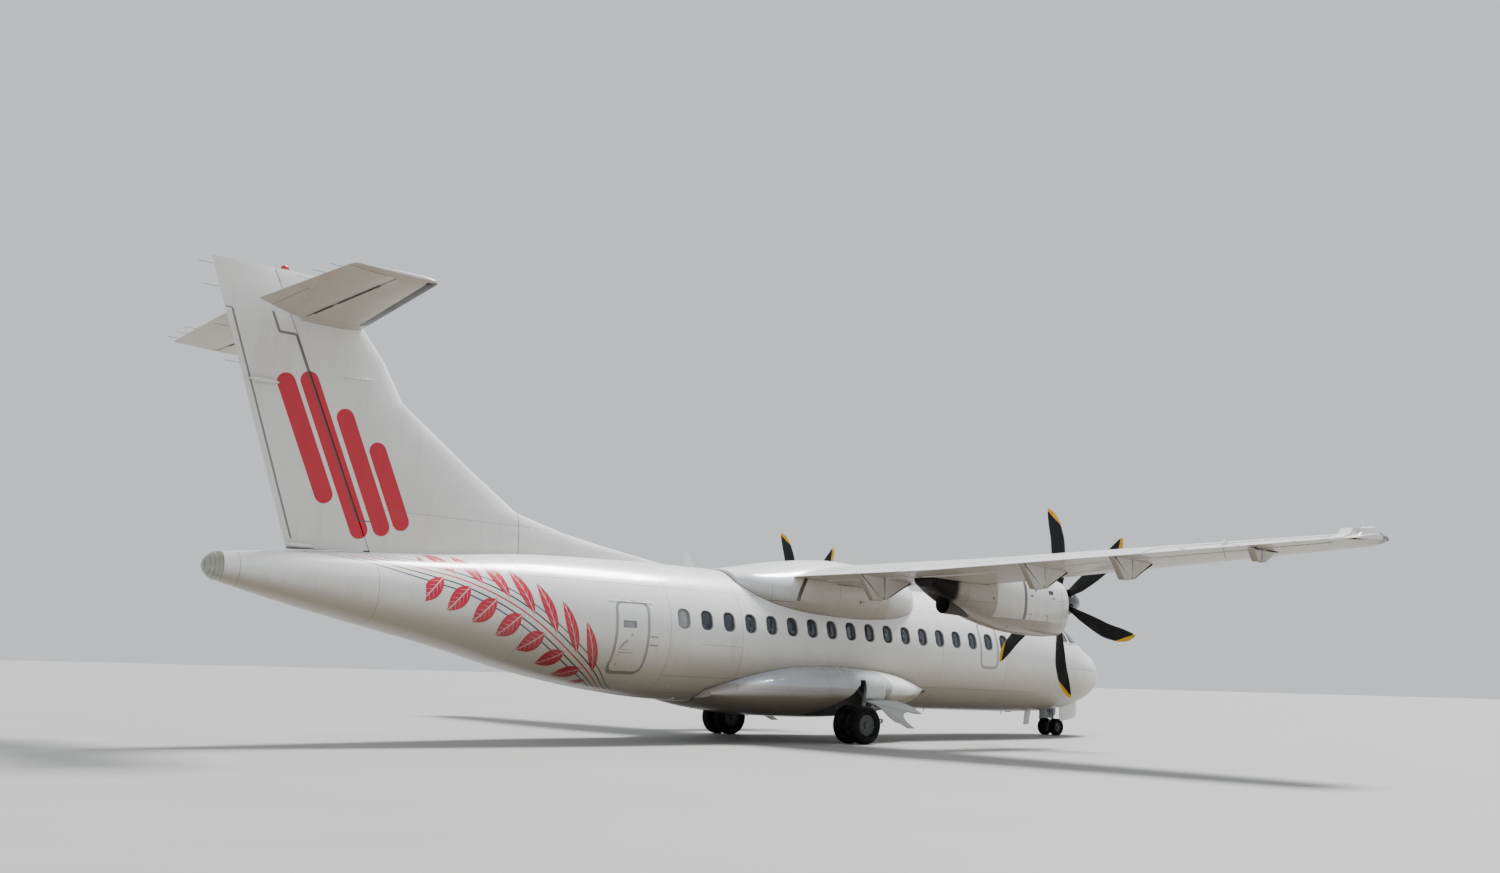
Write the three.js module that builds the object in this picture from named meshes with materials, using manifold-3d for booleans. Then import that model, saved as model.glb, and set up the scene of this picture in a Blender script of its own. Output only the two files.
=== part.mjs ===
// A twin-turboprop regional airliner, parked on its wheels: high wing, two six-bladed propellers, T-tail.
// Millimetres. +X points to the nose, +Y to port, +Z up. The origin lies on the ground, in the middle of the
// airliner's bounding box. "station" is the distance aft of the nose tip; heights are measured from the ground
// under the main wheels, along the airframe's own upright, before it is pitched to its parked attitude.
import * as THREE from "three";
import { mergeVertices } from "three/addons/utils/BufferGeometryUtils.js";
import Module from "manifold-3d";

const wasm = await Module();
wasm.setup();

// Driving dimensions of the whole airliner
const ORIGIN_STATION = 11310.3; // the station that stands over the origin
const ATTITUDE = 1.0; // degrees nose down, as it stands empty
const SEAT = 0.3; // gap between two pieces that touch
const RUNNING_GAP = 12; // gap round a piece that moves
const MAIN_WHEEL_STATION = 10232;
const MAIN_TRACK = 4100; // between the middles of the two twin pairs
const WHEELBASE = 8780;
const FUSELAGE_HALF_WIDTH = 1432.5;
const CROWN = 3327;
const BELLY = 695;
const PROPELLER_STATION = 6469;
const PROPELLER_RADIUS = 1965;
const PROPELLER_HEIGHT = 3014;
const ENGINE_OFFSET = 4050; // from the airliner's plane of symmetry
const HALF_SPAN = 12285;
const TAIL_HALF_SPAN = 3655;
const TAILPLANE_HEIGHT = 6740;

// Small helpers for points and solids

const at = (station, y, z) => new THREE.Vector3(-station, y, z);
const radians = THREE.MathUtils.degToRad;
const mix = THREE.MathUtils.lerp;

function solidOf(geometry) {
  const bare = geometry.clone();
  bare.deleteAttribute("normal");
  bare.deleteAttribute("uv");
  const merged = mergeVertices(bare, 1e-3);
  return new wasm.Manifold(
    new wasm.Mesh({
      numProp: 3,
      vertProperties: merged.attributes.position.array,
      triVerts: new Uint32Array(merged.index.array),
    }),
  );
}

function geometryOf(solid) {
  const mesh = solid.getMesh();
  const geometry = new THREE.BufferGeometry();
  geometry.setAttribute("position", new THREE.BufferAttribute(mesh.vertProperties, 3));
  geometry.setIndex(new THREE.BufferAttribute(mesh.triVerts, 1));
  return geometry;
}

const join = (first, ...others) => others.reduce((sum, other) => sum.add(other), first);
const cut = (first, ...others) => others.reduce((rest, other) => rest.subtract(other), first);

// The two axes in which the end faces of a loft are filled in
const acrossX = (p) => new THREE.Vector2(p.y, p.z);
const acrossY = (p) => new THREE.Vector2(p.x, p.z);
const acrossZ = (p) => new THREE.Vector2(p.x, p.y);

// A closed solid through rings of equally many points, with its two ends filled in.
function loft(rings, flat) {
  const count = rings[0].length;
  const faces = [];
  for (let i = 0; i + 1 < rings.length; i++) {
    for (let j = 0; j < count; j++) {
      const a = i * count + j;
      const b = i * count + ((j + 1) % count);
      faces.push([a, b, b + count], [a, b + count, a + count]);
    }
  }
  const cap = (ring, start, sameWay) => {
    const outline = ring.map(flat);
    const turn = Math.sign(THREE.ShapeUtils.area(outline)) * (sameWay ? 1 : -1);
    for (const [a, b, c] of THREE.ShapeUtils.triangulateShape(outline, [])) {
      const area = THREE.ShapeUtils.area([outline[a], outline[b], outline[c]]);
      faces.push(area * turn > 0 ? [start + a, start + b, start + c] : [start + a, start + c, start + b]);
    }
  };
  cap(rings[0], 0, false);
  cap(rings.at(-1), (rings.length - 1) * count, true);
  const points = rings.flat();
  const volume = faces.reduce(
    (sum, [a, b, c]) => sum + points[a].dot(new THREE.Vector3().crossVectors(points[b], points[c])),
    0,
  );
  const geometry = new THREE.BufferGeometry().setFromPoints(points);
  geometry.setIndex(faces.flatMap(([a, b, c]) => (volume > 0 ? [a, b, c] : [a, c, b])));
  return solidOf(geometry);
}

// A block between two stations, two offsets and two heights.
function block(station0, station1, y0, y1, z0, z1) {
  const size = [Math.abs(station1 - station0), Math.abs(y1 - y0), Math.abs(z1 - z0)];
  const box = new THREE.BoxGeometry(...size);
  box.translate(-(station0 + station1) / 2, (y0 + y1) / 2, (z0 + z1) / 2);
  return solidOf(box);
}

// A round bar from one point to another; the two ends may differ in radius.
function bar(from, to, radius, endRadius = radius, sides = 12) {
  const axis = to.clone().sub(from);
  const rod = new THREE.CylinderGeometry(endRadius, radius, axis.length(), sides);
  const upright = new THREE.Vector3(0, 1, 0);
  rod.applyQuaternion(new THREE.Quaternion().setFromUnitVectors(upright, axis.normalize()));
  rod.translate((from.x + to.x) / 2, (from.y + to.y) / 2, (from.z + to.z) / 2);
  return solidOf(rod);
}

// A pin and the slightly wider hole it turns in: both have as many sides, so the hole clears the corners.
const PIN_SIDES = 20;
const pin = (from, to, radius) => bar(from, to, radius, radius, PIN_SIDES);
const pinHole = (from, to, radius) => pin(from, to, radius / Math.cos(Math.PI / PIN_SIDES) + SEAT);

// The piece of a line between two distances past its second point.
function beyond([a, b], from, to) {
  const along = b.clone().sub(a).normalize();
  return [from, to].map((distance) => b.clone().addScaledVector(along, distance));
}

// A body of revolution about an axis through centre; profile rows are [distance along the axis, radius].
function turned(profile, centre, axis, sides) {
  const outline = profile.map(([along, radius]) => new THREE.Vector2(radius, along));
  const lathe = new THREE.LatheGeometry(outline, sides);
  lathe.applyQuaternion(new THREE.Quaternion().setFromUnitVectors(new THREE.Vector3(0, 1, 0), axis));
  lathe.translate(centre.x, centre.y, centre.z);
  const solid = solidOf(lathe);
  return solid.volume() < 0 ? solidOf(flipped(lathe)) : solid;
}

function flipped(geometry) {
  const turnedRound = geometry.clone();
  const index = turnedRound.index.array;
  for (let i = 0; i < index.length; i += 3) {
    [index[i + 1], index[i + 2]] = [index[i + 2], index[i + 1]];
  }
  return turnedRound;
}

// A plate whose outline is given as [station, height], between two offsets y.
const plate = (outline, y0, y1) =>
  loft([y0, y1].map((y) => outline.map(([station, z]) => at(station, y, z))), acrossY);

// A rectangle with round corners, as [station, height] points.
function roundedOutline(station0, station1, z0, z1, radius) {
  const shape = new THREE.Shape();
  shape.absarc(station1 - radius, z1 - radius, radius, 0, Math.PI / 2);
  shape.absarc(station0 + radius, z1 - radius, radius, Math.PI / 2, Math.PI);
  shape.absarc(station0 + radius, z0 + radius, radius, Math.PI, 1.5 * Math.PI);
  shape.absarc(station1 - radius, z0 + radius, radius, 1.5 * Math.PI, 2 * Math.PI);
  return shape.getPoints(4).map((p) => [p.x, p.y]).filter(([s, z], i, all) => {
    const [nextS, nextZ] = all[(i + 1) % all.length];
    return Math.hypot(nextS - s, nextZ - z) > 1;
  });
}

// The row of a table at a value of its first column, all columns drawn straight between its rows.
function rowAt(table, value) {
  const rising = table[0][0] < table.at(-1)[0];
  const next = Math.max(1, table.findIndex((row) => (rising ? row[0] >= value : row[0] <= value)));
  const [before, after] = [table[next - 1], table[next]];
  const share = (value - before[0]) / (after[0] - before[0]);
  return before.map((entry, i) => mix(entry, after[i], share));
}

// Fuselage: an oval tube of 2.87 m, rounded above and flatter below, with a drooping nose and a rising tail

// Columns: station, half width, top, bottom, height of the widest line
const FUSELAGE_SECTIONS = [
  [0, 25, 1705, 1655, 1680],
  [40, 190, 1850, 1500, 1678],
  [150, 370, 2000, 1335, 1675],
  [350, 565, 2150, 1185, 1680],
  [700, 790, 2315, 1030, 1700],
  [1150, 985, 2450, 895, 1740],
  [1600, 1130, 2730, 805, 1780],
  [2050, 1240, 3000, 750, 1815],
  [2700, 1345, 3190, 714, 1855],
  [3500, 1415, 3295, 698, 1885],
  [4400, FUSELAGE_HALF_WIDTH, CROWN, BELLY, 1894],
  [12700, FUSELAGE_HALF_WIDTH, CROWN, BELLY, 1894],
  [14000, 1415, 3322, 738, 1925],
  [15200, 1345, 3300, 852, 1995],
  [16700, 1175, 3248, 1090, 2115],
  [18600, 880, 3085, 1530, 2285],
  [20000, 665, 2990, 1812, 2392],
  [21300, 445, 2895, 2092, 2490],
  [22250, 238, 2798, 2322, 2560],
];
const TAIL_END_STATION = FUSELAGE_SECTIONS.at(-1)[0];
const FUSELAGE_POINTS = 32;
const FAIRING_POINTS = 20;

// One ring of an oval section; the powers make its upper and lower halves rounder or squarer.
function ovalRing([station, halfWidth, top, bottom, widest], count, y, upperPower, lowerPower, grow = 0) {
  return Array.from({ length: count }, (_, i) => {
    const angle = (2 * Math.PI * i) / count;
    const [across, up] = [Math.cos(angle), Math.sin(angle)];
    const power = up > 0 ? upperPower : lowerPower;
    const height = (up > 0 ? top - widest : widest - bottom) + grow;
    const bend = (v) => Math.sign(v) * Math.abs(v) ** (2 / power);
    return at(station, y + (halfWidth + grow) * bend(across), widest + height * bend(up));
  });
}

const UPPER_POWER = 2;
const LOWER_POWER = 2.25;
const fuselageShape = (grow = 0) =>
  loft(
    FUSELAGE_SECTIONS.map((row) => ovalRing(row, FUSELAGE_POINTS, 0, UPPER_POWER, LOWER_POWER, grow)),
    acrossX,
  );
const fuselageSkin = fuselageShape();
const aroundFuselage = fuselageShape(SEAT);

// How far the fuselage skin, or a shape grown from it, lies from the middle at a station and a height.
function skinOffset(station, z, grow = 0) {
  const [, halfWidth, top, bottom, widest] = rowAt(FUSELAGE_SECTIONS, station);
  const [share, power] = z > widest ? [(z - widest) / (top - widest + grow), UPPER_POWER]
    : [(widest - z) / (widest - bottom + grow), LOWER_POWER];
  return (halfWidth + grow) * (1 - share ** power) ** (1 / power);
}

// Doors and hatches, each a thick leaf in a recess of its own
const LEAF_THICKNESS = 90;
const LEAF_CORNER = 110;
const SERVICE_HINGE_INSET = 66; // inside the fuselage's widest line, at the service door's front edge
// Columns: name, side (1 port, -1 starboard), first station, last station, sill, top
const DOORS = [
  ["passenger_door", 1, 14920, 15560, 1236, 2986],
  ["cargo_door", 1, 3560, 4835, 1245, 2775],
  ["service_door", -1, 14930, 15540, 1215, 2435],
  ["exit_hatch_left", 1, 5250, 5760, 1690, 2600],
  ["exit_hatch_right", -1, 5250, 5760, 1690, 2600],
];

const DOOR_GAP = 8; // round a leaf that swings
const underLeaf = fuselageShape(-LEAF_THICKNESS);
const underRecess = fuselageShape(-LEAF_THICKNESS - SEAT);

function doorway([, side, station0, station1, sill, top], grow) {
  const corner = LEAF_CORNER + grow;
  const outline = roundedOutline(station0 - grow, station1 + grow, sill - grow, top + grow, corner);
  return plate(outline, side * 400, side * (FUSELAGE_HALF_WIDTH + 100));
}

const doorRecess = (door, grow) => cut(doorway(door, grow), underRecess);
const doorLeaf = (door) => cut(doorway(door, 0).intersect(fuselageSkin), underLeaf);

// Each door turns about a line just outside the skin at one of its edges.
const HINGE_OUTSIDE = 5;
const [PASSENGER_DOOR, CARGO_DOOR, SERVICE_DOOR] = DOORS;

function levelHinge([, side, station0, station1], station, z) {
  const y = side * (skinOffset(station, z) + HINGE_OUTSIDE);
  return [at(station0, y, z), at(station1, y, z)];
}
const passengerHinge = levelHinge(PASSENGER_DOOR, PASSENGER_DOOR[2], PASSENGER_DOOR[4] - HINGE_OUTSIDE);
const cargoHinge = levelHinge(CARGO_DOOR, CARGO_DOOR[3], CARGO_DOOR[5] + HINGE_OUTSIDE);
const serviceHinge = [SERVICE_DOOR[4], SERVICE_DOOR[5]].map((z) =>
  at(SERVICE_DOOR[2], -FUSELAGE_HALF_WIDTH + SERVICE_HINGE_INSET, z));

// Room in a recess for the leaf's edge beside a level hinge; its inner corner swings inward as the door opens.
function hingeRoom(door, hinge) {
  const [, , station0, station1] = door;
  const deepest = Math.min(...[station0, station1].map((s) => skinOffset(s, hinge[0].z, -LEAF_THICKNESS)));
  const radius = Math.abs(hinge[0].y) - deepest + DOOR_GAP;
  return doorway(door, DOOR_GAP).intersect(bar(at(station0 - DOOR_GAP, hinge[0].y, hinge[0].z),
    at(station1 + DOOR_GAP, hinge[0].y, hinge[0].z), radius, radius, 48));
}

// The far edge of a leaf is trimmed to the sweep of its outer corner, so that it leaves its recess freely.
function passengerSweep() {
  const [, , station0, station1, , top] = PASSENGER_DOOR;
  const { y, z } = passengerHinge[0];
  const reach = Math.hypot(y - skinOffset(station0, top), top - z);
  return bar(at(station0 - 1, y, z), at(station1 + 1, y, z), reach, reach, 96);
}

function serviceSweep() {
  const [, , , station1, sill, top] = SERVICE_DOOR;
  const axis = serviceHinge[0];
  const reach = (z) => Math.hypot(station1 + axis.x, -skinOffset(station1, z) - axis.y);
  const heights = Array.from({ length: 7 }, (_, i) => mix(sill - 1, top + 1, i / 6));
  const profile = [[heights[0], 0], ...heights.map((z) => [z, reach(z)]), [heights.at(-1), 0]];
  return turned(profile, at(-axis.x, axis.y, 0), new THREE.Vector3(0, 0, 1), 72);
}

// Windscreen: one glazed band round the cockpit, seen from the side as [station, height]
const GLAZING_DEPTH = 25;
const GLAZING_BAND = [
  [1060, 2455], [1350, 2400], [1800, 2335], [2300, 2335], [2760, 2380], [2860, 2470], [2860, 2640],
  [2740, 2760], [2350, 2860], [1990, 2990], [1500, 2900],
];
const glazingBand = (grow) => {
  const middle = GLAZING_BAND.reduce(([s, z], row) => [s + row[0] / 11, z + row[1] / 11], [0, 0]);
  const spread = (row) => row.map((value, i) => value + grow * Math.sign(value - middle[i]));
  return plate(GLAZING_BAND.map(spread), -FUSELAGE_HALF_WIDTH, FUSELAGE_HALF_WIDTH);
};

// Nose gear bay: a box let into the belly, open below
const NOSE_WHEEL_STATION = MAIN_WHEEL_STATION - WHEELBASE;
const NOSE_BAY = { station0: 760, station1: 2120, halfWidth: 322, roof: 1330 };

function noseBay() {
  const { station0, station1, halfWidth, roof } = NOSE_BAY;
  return block(station0, station1, -halfWidth, halfWidth, 300, roof);
}

// Wing: an unswept middle and two tapered outer panels with a little dihedral

const WING_CAMBER = 0.02; // of the chord
// Columns: offset y, leading edge station, chord, leading edge height, trailing edge height, thickness
const WING_SECTIONS = [
  [0, 8750, 2570, 3365, 3235, 460],
  [4900, 8750, 2570, 3365, 3235, 460],
  [11990, 9035, 1430, 3600, 3510, 205],
  [12200, 9110, 1290, 3612, 3520, 150],
  [HALF_SPAN, 9300, 950, 3622, 3535, 70],
];
const CHORD_SHARES = [0, 0.012, 0.05, 0.13, 0.26, 0.42, 0.6, 0.8, 1];
const EDGE_HALF_THICKNESS = 4;

// Half thickness of a rounded aerofoil at a share of its chord; its largest value is 1.
const fullness = (u) =>
  10 * (0.2969 * Math.sqrt(u) - 0.126 * u - 0.3516 * u ** 2 + 0.2843 * u ** 3 - 0.1036 * u ** 4);

// Point on a wing section: side 1 is the upper surface, -1 the lower one, 0 halfway.
function wingPoint([y, leading, chord, leadingZ, trailingZ, thickness], u, side) {
  const half = Math.max((thickness / 2) * fullness(u), EDGE_HALF_THICKNESS);
  const middle = mix(leadingZ, trailingZ, u) + 4 * WING_CAMBER * chord * u * (1 - u);
  return at(leading + u * chord, y, middle + side * half);
}

function wingRing(row) {
  const upper = CHORD_SHARES.map((u) => wingPoint(row, u, 1)).reverse();
  const lower = CHORD_SHARES.slice(1).map((u) => wingPoint(row, u, -1));
  return [...upper, ...lower];
}

const mirroredRows = (table) => {
  const mirrored = table.slice(1).reverse().map((row) => [-row[0], ...row.slice(1)]);
  return [...mirrored, ...table];
};
const wingShape = (grow = 0) => {
  const grown = ([y, leading, chord, leadingZ, trailingZ, thickness]) =>
    [y, leading - grow, chord + 2 * grow, leadingZ, trailingZ, thickness + 2 * grow];
  return loft(mirroredRows(WING_SECTIONS).map((row) => wingRing(grown(row))), acrossY);
};

// A surface that turns about a hinge inside its own nose. "surface" gives the upper, middle and lower point at
// a share of the chord. The moving ring is the turning piece, the cutter ring the room it needs.
const NOSE_STEP = 10; // how much smaller the turning nose is than the skin round it
const SHROUD_ANGLE = 113; // degrees from straight aft at which the skin over the nose ends

function hingedRings(surface, hingeShare) {
  const [upper, lower] = [surface(hingeShare, 1), surface(hingeShare, -1)];
  const hinge = upper.clone().add(lower).multiplyScalar(0.5);
  const up = upper.clone().sub(lower).normalize();
  const aft = surface(1, 0).sub(hinge).normalize();
  const radius = upper.distanceTo(lower) / 2 - NOSE_STEP;
  const round = (degrees, r) => {
    const turn = radians(degrees);
    return hinge.clone().addScaledVector(aft, r * Math.cos(turn)).addScaledVector(up, r * Math.sin(turn));
  };
  const shares = [mix(hingeShare, 1, 0.3), mix(hingeShare, 1, 0.65), 1];
  const moving = [
    ...[90, 115, 140, 165, 195, 220, 245, 270].map((degrees) => round(degrees, radius)),
    ...shares.map((u) => surface(u, -1)),
    ...shares.map((u) => surface(u, 1)).reverse(),
  ];
  const room = radius + RUNNING_GAP - 4;
  const reach = 400;
  const edge = surface(1, 0).addScaledVector(aft, reach);
  const coveAngles = [SHROUD_ANGLE, 135, 160, 180, 200, 225, 360 - SHROUD_ANGLE];
  const cove = coveAngles.map((degrees) => round(degrees, room));
  const cutter = [
    ...cove,
    cove.at(-1).clone().addScaledVector(up, -reach),
    edge.clone().addScaledVector(up, -reach),
    edge.clone().addScaledVector(up, reach),
    cove[0].clone().addScaledVector(up, reach),
  ];
  return { moving, cutter, hinge };
}

const HINGE_PIN = 10; // radius of the pins at the outer ends of the control surfaces

// Ailerons
const AILERON = { inner: 9005, outer: 11850, hingeShare: 0.74 };

function aileron(side) {
  const rings = (y) => hingedRings((u, s) => wingPoint(rowAt(WING_SECTIONS, y), u, s), AILERON.hingeShare);
  const toSide = (ring) => ring.map((p) => new THREE.Vector3(p.x, side * p.y, p.z));
  const [inner, outer] = [rings(AILERON.inner), rings(AILERON.outer)];
  const [wideInner, wideOuter] = [rings(AILERON.inner - RUNNING_GAP), rings(AILERON.outer + RUNNING_GAP)];
  const hinge = toSide([inner.hinge, outer.hinge]);
  return {
    piece: join(loft([toSide(inner.moving), toSide(outer.moving)], acrossY),
      pin(...beyond(hinge, -20, 40), HINGE_PIN)),
    room: join(loft([toSide(wideInner.cutter), toSide(wideOuter.cutter)], acrossY),
      pinHole(...beyond(hinge, -20, 45), HINGE_PIN)),
    hinge,
  };
}

// Flaps swing down and aft about pivots at the bottom of deep hinge fairings
const FLAP_SHARE = 0.735;
const FLAP_LIP_SHARE = 0.81;
const FLAP_PIVOT_DROP = 330;
// Columns: name, inner offset, outer offset, offsets of its hinge fairings, two offsets that its hinge line is
// drawn through, and the room at its outer end, towards which the outer flap slides as it swings
const FLAPS = [
  ["inner", 1560, 3990, [3050], [1560, 3050], RUNNING_GAP],
  ["outer", 4110, 8955, [6750, 8450], [6750, 8450], 50],
];
const FAIRING_HALF_WIDTH = 55;

// The flap's section under the wing's lip, and the room that the wing leaves for it.
function flapRings(row) {
  const [y, leading, chord] = row;
  const on = (u, side, drop = 0) => {
    const p = wingPoint(row, u, side);
    return at(-p.x, y, p.z - drop);
  };
  const nose = at(leading + FLAP_SHARE * chord, y, wingPoint(row, FLAP_SHARE, 0).z);
  const piece = [
    on(1, 1), on(0.9, 1), on(FLAP_LIP_SHARE + 0.004, 1, 2), on(FLAP_LIP_SHARE - 0.01, 1, 17),
    on(0.765, 1, 34), nose, on(FLAP_SHARE + 0.012, -1, -12), on(0.78, -1), on(0.9, -1), on(1, -1),
  ];
  const front = leading + FLAP_SHARE * chord - RUNNING_GAP;
  const lip = leading + FLAP_LIP_SHARE * chord;
  const reach = 400;
  const room = [
    at(lip, y, on(FLAP_LIP_SHARE, 1).z + reach), on(FLAP_LIP_SHARE, 1, 6), on(0.765, 1, 22),
    at(front, y, on(FLAP_SHARE, 1).z - 36), at(front, y, on(FLAP_SHARE, -1).z - reach),
    at(leading + chord + reach, y, on(1, -1).z - reach), at(leading + chord + reach, y, on(1, 1).z + reach),
  ];
  const drop = FLAP_PIVOT_DROP * (chord / 2570);
  const pivot = at(leading + FLAP_SHARE * chord - 25, y, on(FLAP_SHARE, -1).z - drop);
  return { piece, room, pivot };
}

// One hinge fairing: a thin canoe below the wing, split at the pivot. Its front half is fixed to the wing,
// its rear half to the flap.
function hingeFairing(offset, side) {
  const row = rowAt(WING_SECTIONS, offset);
  const [, leading, chord] = row;
  const { pivot } = flapRings(row);
  const under = (u) => wingPoint(row, u, -1).z;
  const pivotStation = -pivot.x;
  const frontShare = FLAP_SHARE - 0.29;
  const front = [
    [leading + frontShare * chord, under(frontShare) + 25],
    [pivotStation - 80, pivot.z - 35],
    [pivotStation - 30, pivot.z - 45],
    [pivotStation - 7, pivot.z - 30],
    [pivotStation - 7, under(FLAP_SHARE - 0.02) + 25],
  ];
  const rear = [
    [pivotStation + 7, pivot.z],
    [pivotStation + 30, pivot.z + 2],
    [leading + 0.97 * chord, under(0.97) - 30],
    [leading + 0.99 * chord, under(0.99) + 4],
    [leading + 0.8 * chord, under(0.8) + 30],
    [pivotStation + 37, under(FLAP_SHARE + 0.03) + 20],
  ];
  const across = [side * offset - FAIRING_HALF_WIDTH, side * offset + FAIRING_HALF_WIDTH];
  return { front: plate(front, ...across), rear: plate(rear, ...across) };
}

function flap([, inner, outer, fairings, hingeOffsets, endRoom], side) {
  const toSide = (ring) => ring.map((p) => new THREE.Vector3(p.x, side * p.y, p.z));
  const stops = [inner, ...WING_SECTIONS.map(([y]) => y).filter((y) => y > inner && y < outer), outer];
  const wide = [inner - RUNNING_GAP, ...stops.slice(1, -1), outer + endRoom];
  const rings = (ys, part) => ys.map((y) => toSide(flapRings(rowAt(WING_SECTIONS, y))[part]));
  const pivots = hingeOffsets.map((y) => flapRings(rowAt(WING_SECTIONS, y)).pivot);
  return {
    piece: join(loft(rings(stops, "piece"), acrossY), ...fairings.map((y) => hingeFairing(y, side).rear)),
    room: loft(rings(wide, "room"), acrossY),
    hinge: toSide(pivots),
  };
}

// Upturned corner at the rear of each wing tip, as [station, height above the tip's trailing edge]
const TIP_CORNER = [[9560, 55], [9720, 210], [10080, 190], [10180, 90], [10420, 6], [10380, -8], [9600, 10]];
const TIP_CORNER_OFFSETS = [11960, 12150];

function wing() {
  const moving = [1, -1].flatMap((side) => [aileron(side), ...FLAPS.map((row) => flap(row, side))]);
  const tips = [1, -1].map((side) =>
    plate(TIP_CORNER.map(([s, z]) => [s, z + 3520]), ...TIP_CORNER_OFFSETS.map((y) => side * y)));
  const fairings = [1, -1].flatMap((side) =>
    FLAPS.flatMap((row) => row[3].map((offset) => hingeFairing(offset, side).front)));
  return join(cut(wingShape(), ...moving.map((m) => m.room)), ...tips, ...fairings);
}

// Wing fairing: a saddle over the crown that buries the middle of the wing
// Columns: station, half width, top, bottom, height of the widest line
const SADDLE_SECTIONS = [
  [7150, 330, 3335, 2900, 3150],
  [7480, 930, 3440, 2500, 2980],
  [8000, 1290, 3570, 2300, 2930],
  [8600, 1430, 3680, 2180, 2930],
  [9600, 1475, 3745, 2100, 2930],
  [10700, 1450, 3640, 2130, 2930],
  [11600, 1330, 3480, 2250, 2930],
  [12150, 1150, 3385, 2450, 2960],
  [12480, 880, 3335, 2750, 3010],
];
const saddleShape = () =>
  loft(SADDLE_SECTIONS.map((row) => ovalRing(row, FAIRING_POINTS, 0, 2.4, 2.2)), acrossX);

// Gear fairing: one body under the belly with a blister on each side, open below over the main wheels
// Columns: station, half width, top, bottom, height of the widest line
const BLISTER_SECTIONS = [
  [7700, 1250, 1190, 1010, 1110],
  [8050, 1560, 1310, 800, 1080],
  [8600, 1800, 1430, 610, 1060],
  [9300, 1930, 1520, 500, 1050],
  [10300, 1970, 1550, 455, 1040],
  [11300, 1920, 1500, 465, 1010],
  [12200, 1730, 1340, 540, 950],
  [12900, 1440, 1110, 660, 900],
  [13250, 1180, 950, 770, 870],
];
const WHEEL_BAY = { station0: 9560, station1: 10900, inner: 1180, roof: 1270 };

function gearFairing() {
  const bays = [1, -1].map((side) =>
    block(WHEEL_BAY.station0, WHEEL_BAY.station1, side * WHEEL_BAY.inner, side * 2300, 300, WHEEL_BAY.roof));
  const rings = BLISTER_SECTIONS.map((row) => ovalRing(row, FAIRING_POINTS, 0, 2.5, 2.6));
  return cut(loft(rings, acrossX), aroundFuselage, ...bays);
}

// Fin, dorsal fin and rudder

// Columns: height, leading edge station, half thickness at the rudder hinge
const FIN_SECTIONS = [
  [2650, 13560, 112],
  [3330, 13650, 110],
  [3540, 15070, 108],
  [3700, 15970, 106],
  [3960, 16980, 104],
  [4540, 17860, 99],
  [5180, 18770, 94],
  [5590, 19360, 90],
  [6210, 19730, 84],
  [6740, 20180, 78],
  [7330, 20640, 70],
  [7440, 20900, 46],
];
const FIN_BULGE = 1.5; // how far the fin and the tailplane swell ahead of their hinges
const AFT_BULGE = 16; // and how little the surfaces behind them do
const DORSAL_END = 16980; // station of the joint between dorsal fin and fin
const rudderHinge = (z) => 19840 + 0.44 * (z - 2970);
const finTrailing = (z) => 21190 + 0.3514 * (z - 2910);
const FIN_SHARES = [0, 0.01, 0.05, 0.16, 0.36, 0.68, 1];

// Point on the fin at a share of the way from its leading edge to the hinge; past 1 it goes on from the hinge
// to the trailing edge.
function finPoint([z, leading, atHinge], share, side) {
  if (share <= 1) {
    const half = atHinge * Math.sqrt(share) * (1 + FIN_BULGE * (1 - share));
    return at(mix(leading, rudderHinge(z), share), side * half, z);
  }
  const half = mix(atHinge, EDGE_HALF_THICKNESS, share - 1) + AFT_BULGE * (share - 1) * (2 - share);
  return at(mix(rudderHinge(z), finTrailing(z), share - 1), side * half, z);
}

function finShape() {
  const ring = (row) => [
    ...[...FIN_SHARES, 2].map((share) => finPoint(row, share, 1)).reverse(),
    ...[...FIN_SHARES.slice(1), 2].map((share) => finPoint(row, share, -1)),
  ];
  return loft(FIN_SECTIONS.map(ring), acrossZ);
}

const RUDDER_FOOT = 2800; // below the crown, which trims the rudder
const RUDDER_CLEARANCE = 22; // between the rudder and the crown
const RUDDER_PIN = { radius: 16, top: 3100, bottom: 2900 };

function rudder() {
  const rings = (z) => hingedRings((u, s) => finPoint(rowAt(FIN_SECTIONS, z), 1 + u, s), 0);
  const heights = [RUDDER_FOOT, ...FIN_SECTIONS.map(([z]) => z).filter((z) => z > 5600 && z < 7440), 7436];
  const foot = [rudderHinge(RUDDER_PIN.top), rudderHinge(RUDDER_PIN.bottom)];
  return {
    piece: join(cut(loft(heights.map((z) => rings(z).moving), acrossZ), fuselageShape(RUDDER_CLEARANCE)),
      pin(at(foot[0], 0, RUDDER_PIN.top), at(foot[1], 0, RUDDER_PIN.bottom), RUDDER_PIN.radius)),
    room: loft([2600, ...heights.slice(0, -1), 7600].map((z) => {
      const ring = rings(Math.min(z, 7436)).cutter;
      return ring.map((p) => new THREE.Vector3(p.x - (z > 7436 ? 0.44 * (z - 7436) : 0), p.y, z));
    }), acrossZ),
    hinge: [rings(RUDDER_FOOT).hinge, rings(7330).hinge],
  };
}

// Tailplane on top of the fin; its middle fills the fin's section, so the fin's tip stands on it

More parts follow.
